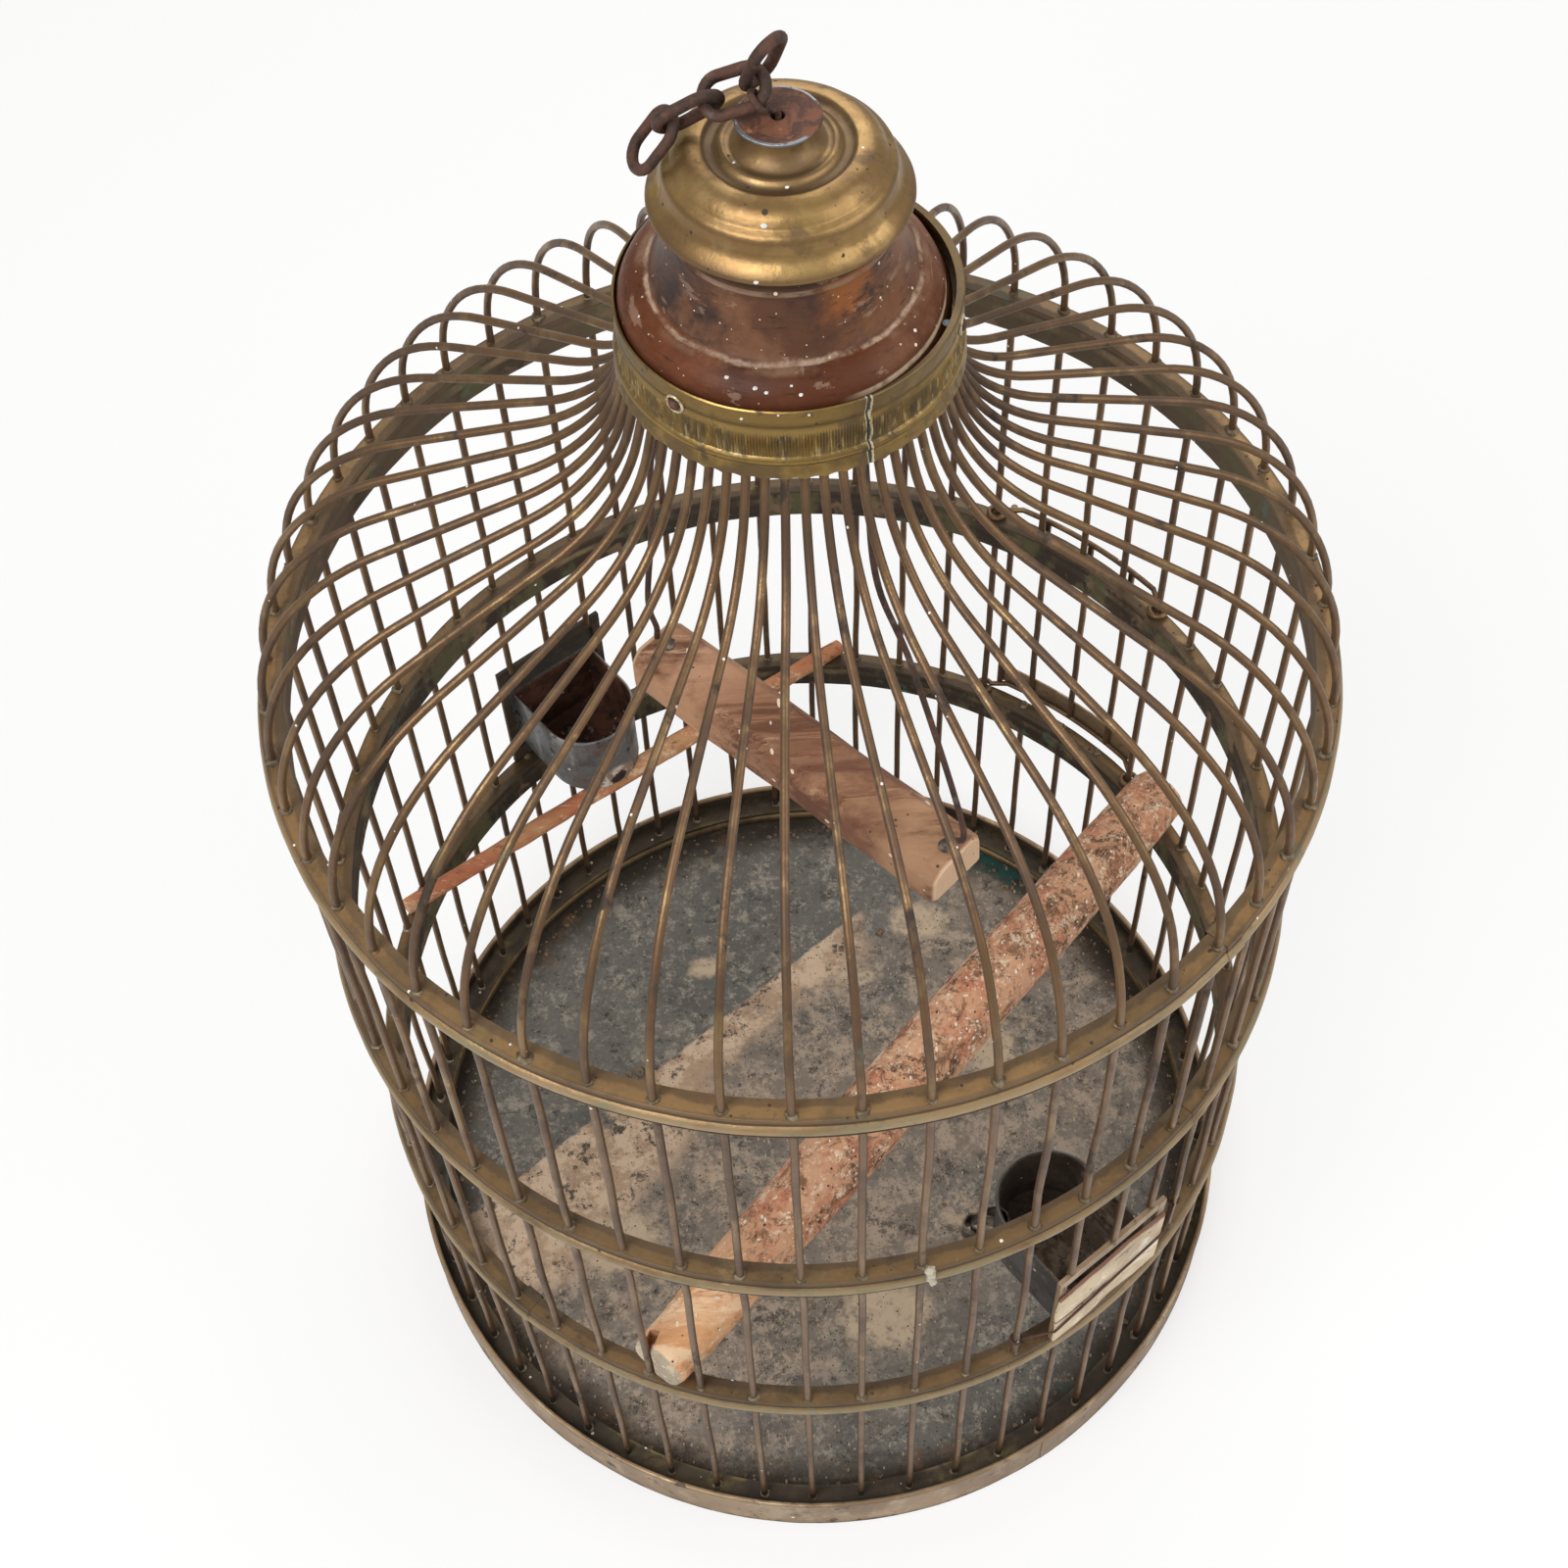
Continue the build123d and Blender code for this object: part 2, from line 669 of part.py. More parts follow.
# Swing: a split wooden bar on two wires that hook into screw eyes under the block
swing_plane = wall_plane(swing_azimuth)
with BuildPart() as swing_bar:
    half_width = swing_bar_width / 2
    section = [
        (-half_width, swing_bar_top - swing_bar_height),
        (half_width, swing_bar_top - swing_bar_height),
        (half_width, swing_bar_top - swing_bar_bevel),
        (half_width - swing_bar_bevel, swing_bar_top),
        (swing_bar_bevel - half_width, swing_bar_top),
        (-half_width, swing_bar_top - swing_bar_bevel),
    ]
    with BuildSketch(wall_plane(swing_azimuth + 90)):
        with BuildLine():
            Polyline(*section, close=True)
        make_face()
    extrude(amount=swing_bar_length / 2, both=True)
    ends = faces().sort_by(Axis(origin=(0, 0, 0), direction=at(1, swing_azimuth)))
    chamfer(ends[0].edges() + ends[-1].edges(), length=swing_end_bevel)
save(swing_bar, "swing_bar")


def swing_side(side, shares):
    """Wire from the bar's end up to its hook through the screw eye."""
    points = [(swing_hook_reach, swing_bar_top - swing_wire_depth)]
    points += [(out * swing_hook_reach, swing_pivot_height - down * swing_drop) for out, down in shares]
    inner = swing_eye_reach - swing_eye_hook
    points += [(inner, swing_pivot_height), (swing_eye_reach + swing_eye_hook, swing_pivot_height)]
    places = [swing_plane.from_local_coords((side * across, up, 0)) for across, up in points]
    return wire(places, swing_wire_dia, link_sides)


def swing_eye(side):
    """Screw eye under the block, open along the swing's bar."""
    middle = swing_plane.from_local_coords((side * swing_eye_reach, swing_pivot_height, 0))
    plane = Plane(middle, x_dir=(0, 0, 1), z_dir=at(1, swing_azimuth))
    low = middle + Vector(0, 0, swing_eye_radius)
    high = Vector(middle.X, middle.Y, wood_foot + swing_eye_depth)
    with BuildPart() as screw_eye:
        add(ring_wire(plane, swing_eye_radius, swing_eye_bar, eye_facets).part)
        add(wire([low, high], swing_eye_bar, link_sides).part)
    return screw_eye


save(swing_side(1, swing_right_shares), "swing_wire_right")
save(swing_side(-1, swing_left_shares), "swing_wire_left")
save(swing_eye(1), "swing_eye_right")
save(swing_eye(-1), "swing_eye_left")

# Log perch: a branch cut to length and notched round one bar at each end
log_start = Vector(*at(log_end_radius, log_from_azimuth))
log_run = Vector(*at(log_end_radius, log_to_azimuth)) - log_start
with BuildPart() as log_perch:
    for along_share, dia_share in log_dia_shares:
        thick = log_dia * dia_share
        rise = lower_top + seat_gap + thick / 2 * cos(pi / log_sides)
        middle = log_start + log_run * along_share + Vector(0, 0, rise)
        with BuildSketch(Plane(middle, x_dir=log_run.cross(Vector(0, 0, 1)), z_dir=log_run)):
            RegularPolygon(radius=thick / 2, side_count=log_sides)
    loft(ruled=True)
    notch = bar_dia + 2 * running_gap
    for bar in log_notch_indexes:
        with BuildSketch(level_plane(bar * bar_pitch, lower_top, cage_radius - notch / 2)):
            Rectangle(log_dia, notch, align=(Align.MIN, Align.CENTER))
        extrude(amount=2 * log_dia, mode=Mode.SUBTRACT)
save(log_perch, "log_perch")

# Thin perch: a peeled stick across two gaps between bars
stick_start = Vector(*at(stick_end_radius, stick_from_azimuth))
stick_run = Vector(*at(stick_end_radius, stick_to_azimuth)) - stick_start
stick_rise = lower_top + seat_gap + stick_dia / 2 * cos(pi / stick_sides)
with BuildPart() as thin_perch:
    for along_share, dia_share in stick_dia_shares:
        middle = stick_start + stick_run * along_share + Vector(0, 0, stick_rise)
        plane = Plane(middle, x_dir=stick_run.cross(Vector(0, 0, 1)), z_dir=stick_run)
        with BuildSketch(plane):
            RegularPolygon(stick_dia / 2 * dia_share, stick_sides, rotation=180 / stick_sides)
    loft(ruled=True)
save(thin_perch, "thin_perch")
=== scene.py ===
import random
from math import ceil, cos, degrees, exp, pi, radians, sin

import bmesh
import bpy
from mathutils import Matrix, Vector, noise


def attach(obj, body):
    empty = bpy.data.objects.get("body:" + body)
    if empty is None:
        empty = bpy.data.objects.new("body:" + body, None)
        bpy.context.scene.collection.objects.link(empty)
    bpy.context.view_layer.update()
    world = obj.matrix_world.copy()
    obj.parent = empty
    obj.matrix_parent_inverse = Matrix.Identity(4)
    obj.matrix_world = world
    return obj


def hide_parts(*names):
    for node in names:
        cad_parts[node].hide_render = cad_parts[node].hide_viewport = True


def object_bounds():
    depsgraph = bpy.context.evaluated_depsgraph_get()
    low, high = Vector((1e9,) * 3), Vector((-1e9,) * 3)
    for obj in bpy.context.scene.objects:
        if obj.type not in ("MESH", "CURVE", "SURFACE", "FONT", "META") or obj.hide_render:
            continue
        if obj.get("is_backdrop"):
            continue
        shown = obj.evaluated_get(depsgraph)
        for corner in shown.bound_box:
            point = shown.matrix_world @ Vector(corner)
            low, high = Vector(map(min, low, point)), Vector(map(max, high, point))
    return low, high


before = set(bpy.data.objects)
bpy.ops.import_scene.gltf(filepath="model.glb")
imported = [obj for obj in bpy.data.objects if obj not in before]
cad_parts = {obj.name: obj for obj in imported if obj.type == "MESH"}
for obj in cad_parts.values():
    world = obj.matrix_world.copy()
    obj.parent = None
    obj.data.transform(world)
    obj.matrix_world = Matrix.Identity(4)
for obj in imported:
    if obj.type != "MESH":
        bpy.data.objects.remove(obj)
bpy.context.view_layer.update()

# Shapes are in millimetres and degrees, looks in metres; R is the radius of the ring of bars
MM = 0.001
BARS = 54
PITCH = 360 / BARS
R = 190.0
LEDGE_TOP, LOWER, MIDDLE, SHOULDER = 18.0, 151.0, 282.0, 418.0
HOOP_TOPS = {"lower_hoop": LOWER, "middle_hoop": MIDDLE, "shoulder_hoop": SHOULDER}
# Painted light: the hoops share one brass, scaled lighter on the shoulder hoop and a little darker on the
# lower hoop
HOOP_LIGHTING = {"lower_hoop": 0.95, "middle_hoop": 1.0, "shoulder_hoop": 1.5}
COLLAR_SEAM = 295.2


def add_object(name, data):
    obj = bpy.data.objects.new(name, data)
    bpy.context.scene.collection.objects.link(obj)
    return obj


# Camera
def add_camera():
    """Stands where the photograph was taken; its place and turn were solved from the hoops."""
    data = bpy.data.cameras.new("camera")
    data.sensor_width = 36
    data.lens = 52.94
    data.clip_start = 0.05
    cam = add_object("camera", data)
    back = -Vector((0.00372, 0.55621, -0.83103)).normalized()
    up = Vector((0.05407, 0.82971, 0.55557))
    right = up.cross(back).normalized()
    up = back.cross(right).normalized()
    turn = Matrix((right, up, back)).transposed().to_4x4()
    cam.matrix_world = Matrix.Translation((-0.0106, -0.5053, 1.0754)) @ turn
    bpy.context.scene.camera = cam


add_camera()


# Materials
class Look:
    """A procedural surface: colour, metal and roughness layers that share masks."""

    def __init__(self, name, colour, rough, metal=0.0):
        self.material = bpy.data.materials.new(name)
        self.material.use_nodes = True
        self.tree = self.material.node_tree
        self.shader = self.tree.nodes["Principled BSDF"]
        self.place = self.node("ShaderNodeTexCoord").outputs["Object"]
        self.x, self.y, self.up = self.parts("XYZ", self.place)
        self.colour = (*colour, 1.0)
        self.rough = rough
        self.metal = metal
        self.normal = None

    def node(self, kind, **settings):
        made = self.tree.nodes.new(kind)
        for key, value in settings.items():
            setattr(made, key, value)
        return made

    def put(self, socket, value):
        if isinstance(value, bpy.types.NodeSocket):
            self.tree.links.new(value, socket)
        else:
            socket.default_value = value

    def parts(self, kind, value):
        split = self.node(f"ShaderNodeSeparate{kind}")
        self.put(split.inputs[0], value)
        return split.outputs

    def math(self, operation, *values):
        made = self.node("ShaderNodeMath", operation=operation)
        for socket, value in zip(made.inputs, values):
            self.put(socket, value)
        return made.outputs[0]

    def both(self, *masks):
        made = masks[0]
        for mask in masks[1:]:
            made = self.math("MULTIPLY", made, mask)
        return made

    def line(self, x, y, start=0.0):
        """Distance across a straight line on the floor plan."""
        return self.math("ADD", self.math("MULTIPLY", self.x, x), self.math("MULTIPLY_ADD", self.y, y, start))

    def out_from(self, x=0.0, y=0.0, squeeze=1.0):
        """Distance from a place on the floor plan."""
        across = self.math("ADD", self.x, -x)
        along = self.math("MULTIPLY", self.math("ADD", self.y, -y), squeeze)
        return self.math("SQRT", self.math("ADD", self.both(across, across), self.both(along, along)))

    def toward(self, azimuth):
        """Distance from the axis towards an azimuth in degrees."""
        return self.line(cos(radians(azimuth)), sin(radians(azimuth)))

    def aside(self, azimuth):
        """Distance to the left of a line from the axis to an azimuth in degrees."""
        return self.line(-sin(radians(azimuth)), cos(radians(azimuth)))

    def spread(self, stretch=(1, 1, 1), shift=(0, 0, 0), turn=0.0):
        made = self.node("ShaderNodeMapping")
        self.put(made.inputs["Vector"], self.place)
        made.inputs["Scale"].default_value = stretch
        made.inputs["Location"].default_value = shift
        made.inputs["Rotation"].default_value = (0, 0, turn)
        return made.outputs["Vector"]

    def cloud(self, scale, detail=6.0, grit=0.65, bend=0.0, **spread):
        made = self.node("ShaderNodeTexNoise")
        self.put(made.inputs["Vector"], self.spread(**spread))
        made.inputs["Scale"].default_value = scale
        made.inputs["Detail"].default_value = detail
        made.inputs["Roughness"].default_value = grit
        made.inputs["Distortion"].default_value = bend
        return made.outputs["Fac"]

    def ragged(self, value, scale, reach, **spread):
        """A distance with a cloudy edge."""
        return self.math("MULTIPLY_ADD", self.math("SUBTRACT", self.cloud(scale, **spread), 0.5),
                         reach, value)

    def step(self, value, low, high):
        """0 below low, 1 above high, smooth in between; swapped limits turn it over."""
        made = self.node("ShaderNodeMapRange", interpolation_type="SMOOTHSTEP")
        self.put(made.inputs["Value"], value)
        made.inputs["From Min"].default_value = min(low, high)
        made.inputs["From Max"].default_value = max(low, high)
        made.inputs["To Min"].default_value = float(high < low)
        made.inputs["To Max"].default_value = float(high > low)
        return made.outputs["Result"]

    def band(self, value, low, high, soft):
        return self.both(self.step(value, low, low + soft), self.step(value, high, high - soft))

    def blend(self, mask, a, b):
        made = self.node("ShaderNodeMix", data_type="FLOAT")
        self.put(made.inputs[0], mask)
        self.put(made.inputs[2], a)
        self.put(made.inputs[3], b)
        return made.outputs[0]

    def layer(self, mask, colour, rough, metal=None, share=1.0):
        mask = self.math("MULTIPLY", mask, share)
        made = self.node("ShaderNodeMix", data_type="RGBA")
        self.put(made.inputs[0], mask)
        self.put(made.inputs[6], self.colour)
        self.put(made.inputs[7], (*colour, 1.0))
        self.colour = made.outputs[2]
        self.rough = self.blend(mask, self.rough, rough)
        if metal is not None:
            self.metal = self.blend(mask, self.metal, metal)

    def patch(self, scale, low, high, colour, rough, metal=None, share=1.0, where=None, **cloud):
        """A cloudy layer, kept to a mask if one is given."""
        mask = self.step(self.cloud(scale, **cloud), low, high)
        self.layer(self.both(mask, where) if where else mask, colour, rough, metal, share)

    def specks(self, scale, size, chance, colour, rough=0.8, where=None, **spread):
        """Scattered dots: about chance of the cells hold one of up to a size."""
        cell = self.node("ShaderNodeTexVoronoi", feature="F1")
        self.put(cell.inputs["Vector"], self.spread(**spread))
        cell.inputs["Scale"].default_value = scale
        red, green, _ = self.parts("Color", cell.outputs["Color"])
        near = self.math("LESS_THAN", cell.outputs["Distance"], self.math("MULTIPLY", green, size))
        mask = self.both(near, self.math("LESS_THAN", red, chance))
        self.layer(self.both(mask, where) if where else mask, colour, rough, 0.0)

    def bump(self, value, strength, depth):
        made = self.node("ShaderNodeBump")
        made.inputs["Strength"].default_value = strength
        made.inputs["Distance"].default_value = depth
        self.put(made.inputs["Height"], value)
        if self.normal is not None:
            self.put(made.inputs["Normal"], self.normal)
        self.normal = made.outputs["Normal"]

    def relief(self, scale, strength, depth, **cloud):
        """A cloudy bump."""
        self.bump(self.cloud(scale, **cloud), strength, depth)

    def done(self, sheen=0.5):
        self.put(self.shader.inputs["Base Color"], self.colour)
        self.shader.inputs["Specular IOR Level"].default_value = sheen
        self.put(self.shader.inputs["Roughness"], self.rough)
        self.put(self.shader.inputs["Metallic"], self.metal)
        if self.normal is not None:
            self.put(self.shader.inputs["Normal"], self.normal)
        return self.material


# Kinds of cloud, then colours that several looks share
FINE = {"detail": 9, "grit": 0.8}
GRITTY = {"detail": 9, "grit": 0.85}
FLAKED = {"detail": 9, "grit": 0.75}
STREAKED = {"detail": 8, "grit": 0.75}
VERDIGRIS = (0.085, 0.165, 0.115)
# Dark crust, also laid as painted shade in the hoops' creases and under their beads
CRUST_AND_SHADE = (0.032, 0.021, 0.013)
PAINT_DROP = (0.78, 0.76, 0.7)
# Middle of the torn spot on the rear cup
TORN = (-0.0845, 0.1127, 0.165)


def wire_look():
    look = Look("wire_brass", (0.165, 0.094, 0.045), 0.4, 0.6)
    look.patch(24, 0.42, 0.62, (0.1, 0.058, 0.033), 0.5, 0.45)
    look.patch(80, 0.5, 0.68, (0.245, 0.158, 0.078), 0.34, 0.8, stretch=(1, 1, 0.25), shift=(3, 1, 0))
    look.patch(60, 0.58, 0.68, (0.04, 0.026, 0.017), 0.7, 0.2, stretch=(1, 1, 0.4), shift=(7, 2, 5))
    look.patch(34, 0.66, 0.73, (0.42, 0.29, 0.12), 0.32, 0.9, 0.8, shift=(0, 9, 4))
    look.patch(30, 0.66, 0.73, VERDIGRIS, 0.85, 0.0, 0.6, shift=(4, 4, 8))
    # Painted shade: the bars dark at their feet, where they stand on the ledge
    foot = look.step(look.ragged(look.up, 60, 0.006), 0.0275, 0.024)
    look.layer(foot, (0.016, 0.011, 0.008), 0.8, 0.1, 0.92)
    look.specks(330, 0.2, 0.05, PAINT_DROP, shift=(1, 2, 3))
    look.relief(700, 0.25, 0.0006)
    look.relief(120, 0.2, 0.0015, shift=(5, 5, 5))
    return look.done()


def hoop_look(name, top, gain):
    """Folded hoop: dull brown brass, with painted shade in its crease, under its bead and towards the back,
    and crust on its inner skirt.
    """
    look = Look(name, (0.225 * gain, 0.135 * gain, 0.058 * gain), 0.42, 0.6)
    look.patch(24, 0.42, 0.62, (0.12 * gain, 0.072 * gain, 0.031 * gain), 0.5, 0.5, bend=0.4)
    look.patch(50, 0.5, 0.66, (0.245, 0.16, 0.08), 0.38, 0.75, shift=(2, 8, 0))
    look.patch(34, 0.62, 0.72, (0.4, 0.285, 0.125), 0.34, 0.85, 0.7, stretch=(1, 1, 0.2), shift=(5, 0, 6))
    # Painted shade: the hoop darker towards the back of the cage
    look.layer(look.step(look.y, 0.06, 0.18), (0.06, 0.04, 0.021), 0.55, 0.4, 0.55)
    look.patch(110, 0.57, 0.68, (0.06, 0.04, 0.022), 0.7, 0.2, 0.6, **STREAKED, shift=(8, 3, 1))
    look.specks(330, 0.3, 0.16, (0.045, 0.03, 0.018), shift=(8, 8, 1))
    out, down = look.out_from(), look.math("SUBTRACT", top * MM, look.up)
    # Painted shade: a dark line along the outer edge of the top face, next to the bead
    top_edge_shade = look.both(look.step(out, 0.1908, 0.1924), look.step(down, 0.0026, 0.0018))
    look.layer(top_edge_shade, (0.075, 0.048, 0.026), 0.6, 0.4, 0.6)
    # The upper half of the bead is lighter: partly rubbed brass, partly painted highlight where light falls
    # on it
    worn_and_lit = look.both(look.band(down, 0.0036, 0.0074, 0.001),
                     look.step(look.cloud(20, shift=(9, 2, 4)), 0.3, 0.5))
    look.layer(worn_and_lit, (0.37, 0.285, 0.165), 0.45, 0.55, 0.7)
    look.patch(34, 0.5, 0.62, (0.175, 0.175, 0.095), 0.6, 0.2, 0.6, where=worn_and_lit, stretch=(1, 1, 3),
               shift=(9, 9, 4))
    # Painted shade in the crease between the top face and the bead
    look.layer(look.band(down, 0.0014, 0.0038, 0.0008), CRUST_AND_SHADE, 0.7, 0.2, 0.8)
    # Dark below the bead: painted shade on its underside and lower lip, over the real crust of the inner
    # skirt
    look.layer(look.step(look.ragged(down, 60, 0.002), 0.0074, 0.0084), CRUST_AND_SHADE, 0.75, 0.2, 0.85)
    inside = look.both(look.step(out, 0.1868, 0.1858), look.step(down, 0.0003, 0.0016))
    # Painted shade: the inner skirt darkens with the cube of the hoop's light gain
    deep = gain ** 3
    look.patch(30, 0.3, 0.5, (0.034 * deep, 0.023 * deep, 0.014 * deep), 0.85, 0.1, 0.92, where=inside,
               shift=(3, 3, 7))
    look.patch(44, 0.5, 0.6, (0.105, 0.095, 0.04), 0.8, 0.1, 0.8, where=inside, stretch=(1, 1, 0.4),
               shift=(3, 8, 7))
    look.patch(60, 0.55, 0.64, (0.2, 0.125, 0.07), 0.85, 0.0, 0.8, where=inside, shift=(5, 3, 7))
    look.patch(34, 0.58, 0.68, VERDIGRIS, 0.85, 0.0, 0.7, where=inside, shift=(5, 9, 7))
    look.patch(28, 0.64, 0.72, VERDIGRIS, 0.85, 0.0, 0.6, shift=(1, 7, 7))
    joint = look.step(look.ragged(out, 50, 0.008, shift=(2, 2, 4)), 0.1886, 0.1872)
    look.layer(look.both(joint, look.step(down, 0.001, 0.0004)), CRUST_AND_SHADE, 0.75, 0.1, 0.55)
    look.specks(240, 0.18, 0.05, PAINT_DROP, shift=(4, 2, 0))
    look.relief(420, 0.22, 0.0008, shift=(1, 1, 1))
    look.relief(45, 0.25, 0.003, shift=(5, 1, 5))
    return look.done()


def band_look():
    look = Look("band_brass", (0.33, 0.225, 0.13), 0.45, 0.5)
    look.patch(16, 0.42, 0.62, (0.215, 0.142, 0.082), 0.5, 0.45)
    look.patch(55, 0.5, 0.66, (0.41, 0.295, 0.185), 0.38, 0.75, shift=(2, 8, 0))
    look.patch(100, 0.58, 0.68, (0.06, 0.038, 0.024), 0.75, 0.2, 0.85, shift=(8, 3, 1))
    look.patch(30, 0.64, 0.72, VERDIGRIS, 0.85, 0.0, 0.6, shift=(1, 7, 7))
    look.layer(look.step(look.ragged(look.up, 50, 0.006), 0.003, 0.0012), CRUST_AND_SHADE, 0.75, 0.2, 0.8)
    inside = look.both(look.step(look.out_from(), 0.1966, 0.1962), look.step(look.up, 0.0246, 0.024))
    look.layer(inside, CRUST_AND_SHADE, 0.8, 0.1, 0.85)
    look.specks(240, 0.2, 0.06, PAINT_DROP, shift=(4, 2, 0))
    look.relief(420, 0.22, 0.0008, shift=(1, 1, 1))
    look.relief(45, 0.25, 0.003, shift=(5, 1, 5))
    return look.done()


def ledge_look():
    look = Look("ledge_brass", (0.125, 0.088, 0.04), 0.6, 0.4)
    look.patch(22, 0.42, 0.6, (0.04, 0.028, 0.017), 0.8, 0.15)
    look.patch(34, 0.54, 0.66, (0.27, 0.2, 0.065), 0.5, 0.4, 0.9, shift=(2, 8, 0))
    look.patch(110, 0.52, 0.62, (0.055, 0.038, 0.02), 0.85, 0.0, 0.85, shift=(2, 8, 5))
    look.patch(26, 0.6, 0.68, (0.045, 0.11, 0.08), 0.85, 0.0, 0.55, shift=(1, 7, 7))
    look.patch(60, 0.6, 0.68, (0.26, 0.16, 0.09), 0.9, 0.0, 0.7, shift=(9, 7, 2))
    groove = look.step(look.ragged(look.out_from(), 50, 0.002, shift=(4, 2, 2)), 0.184, 0.1865)
    look.layer(groove, (0.03, 0.02, 0.013), 0.85, 0.1, 0.7)
    look.specks(240, 0.22, 0.14, (0.62, 0.55, 0.45), shift=(9, 7, 2))
    look.relief(200, 0.5, 0.002)
    return look.done()


def cap_look():
    look = Look("cap_brass", (0.42, 0.275, 0.104), 0.37, 0.9)
    look.patch(13, 0.38, 0.6, (0.265, 0.16, 0.066), 0.41, 0.86, bend=0.4)
    look.patch(42, 0.55, 0.72, (0.54, 0.37, 0.17), 0.31, 0.93, 0.6, shift=(2, 8, 0))
    look.patch(70, 0.56, 0.68, (0.125, 0.075, 0.036), 0.5, 0.6, 0.75, shift=(8, 3, 1))
    look.patch(26, 0.56, 0.68, (0.15, 0.09, 0.042), 0.45, 0.7, 0.8, shift=(5, 1, 9))
    look.patch(190, 0.62, 0.7, (0.07, 0.044, 0.026), 0.55, 0.5, 0.7, shift=(5, 4, 9))
    # The lower rim is darker: partly dull tarnish, partly painted shade; below it, painted shade on the rim's
    # underside
    dull_and_shaded = look.both(look.step(look.out_from(), 0.036, 0.0378), look.step(look.up, 0.628, 0.6255))
    look.layer(dull_and_shaded, (0.15, 0.088, 0.038), 0.5, 0.7, 0.7)
    look.layer(look.step(look.up, 0.6246, 0.6238), (0.035, 0.02, 0.01), 0.6, 0.5, 0.9)
    dome = look.both(look.step(look.out_from(), 0.0178, 0.0166), look.step(look.out_from(), 0.01, 0.011))
    look.patch(60, 0.28, 0.5, (0.165, 0.105, 0.05), 0.48, 0.65, 0.85, where=dome, shift=(3, 6, 2))
    groove = look.band(look.out_from(), 0.0172, 0.0226, 0.0012)
    look.patch(40, 0.28, 0.5, (0.095, 0.058, 0.03), 0.5, 0.6, 0.8, where=groove, shift=(3, 1, 2))
    look.layer(look.band(look.out_from(), 0.0326, 0.0344, 0.0007), (0.2, 0.12, 0.05), 0.4, 0.8, 0.6)
    look.specks(420, 0.24, 0.16, (0.035, 0.022, 0.014), shift=(1, 5, 3))
    look.specks(190, 0.2, 0.08, (0.045, 0.028, 0.016), shift=(1, 9, 3))
    look.specks(260, 0.13, 0.05, (0.8, 0.74, 0.62), shift=(7, 5, 1))
    look.relief(500, 0.12, 0.0006)
    look.relief(35, 0.2, 0.003, shift=(5, 1, 5))
    return look.done()


def collar_look():
    look = Look("collar_brass", (0.28, 0.18, 0.057), 0.3, 0.86)
    look.patch(20, 0.42, 0.62, (0.148, 0.094, 0.032), 0.38, 0.78, bend=0.3)
    look.patch(60, 0.58, 0.72, (0.42, 0.28, 0.105), 0.28, 0.9, 0.55, shift=(2, 8, 0))
    look.patch(34, 0.56, 0.68, (0.095, 0.06, 0.028), 0.5, 0.6, 0.75, shift=(6, 8, 3))
    look.patch(120, 0.6, 0.68, (0.06, 0.04, 0.022), 0.6, 0.4, 0.8, shift=(9, 8, 3))
    ribs = look.band(look.up, 0.5678, 0.578, 0.001)
    # Dark and pale vertical streaks on the ribs: painted shade and painted highlights
    look.patch(60, 0.4, 0.58, (0.085, 0.06, 0.03), 0.6, 0.4, 0.7, where=ribs, stretch=(6, 6, 0.5),
               shift=(3, 0, 0))
    look.patch(200, 0.52, 0.64, (0.46, 0.36, 0.17), 0.45, 0.6, 0.7, where=ribs, stretch=(3, 3, 0.6))
    groove = look.band(look.up, 0.5798, 0.5814, 0.0006)
    look.layer(groove, (0.1, 0.063, 0.026), 0.5, 0.6, 0.75)
    under = look.step(look.ragged(look.up, 60, 0.002, shift=(1, 1, 8)), 0.5662, 0.5646)
    look.patch(70, 0.4, 0.56, (0.105, 0.066, 0.03), 0.55, 0.5, 0.8, where=under, shift=(1, 1, 8))
    # Painted shade: the top of the rim darker on its right, and the inner wall dark where it faces the wood
    # across the gap
    lip = look.both(look.step(look.up, 0.586, 0.5868), look.step(look.x, 0.012, 0.034))
    look.layer(lip, (0.105, 0.068, 0.03), 0.5, 0.5, 0.75)
    inside = look.step(look.out_from(), 0.051, 0.0506)
    look.layer(inside, (0.04, 0.025, 0.013), 0.6, 0.4, 0.85)
    look.patch(40, 0.66, 0.73, VERDIGRIS, 0.85, 0.0, 0.6, shift=(1, 7, 7))
    seam = look.ragged(look.aside(COLLAR_SEAM), 170, 0.003)
    front = look.step(look.toward(COLLAR_SEAM), 0.02, 0.03)
    look.layer(look.both(look.band(seam, -0.001, 0.0011, 0.0003), front), (0.6, 0.52, 0.34), 0.5, 0.4, 0.8)
    look.layer(look.both(look.band(seam, -0.0007, 0.0003, 0.0002), front), (0.012, 0.01, 0.007),
               0.8, 0.0, 0.95)
    look.specks(300, 0.2, 0.08, (0.05, 0.035, 0.02), shift=(1, 5, 3))
    look.specks(170, 0.13, 0.03, PAINT_DROP, shift=(3, 5, 3))
    look.relief(420, 0.15, 0.0008)
    return look.done()


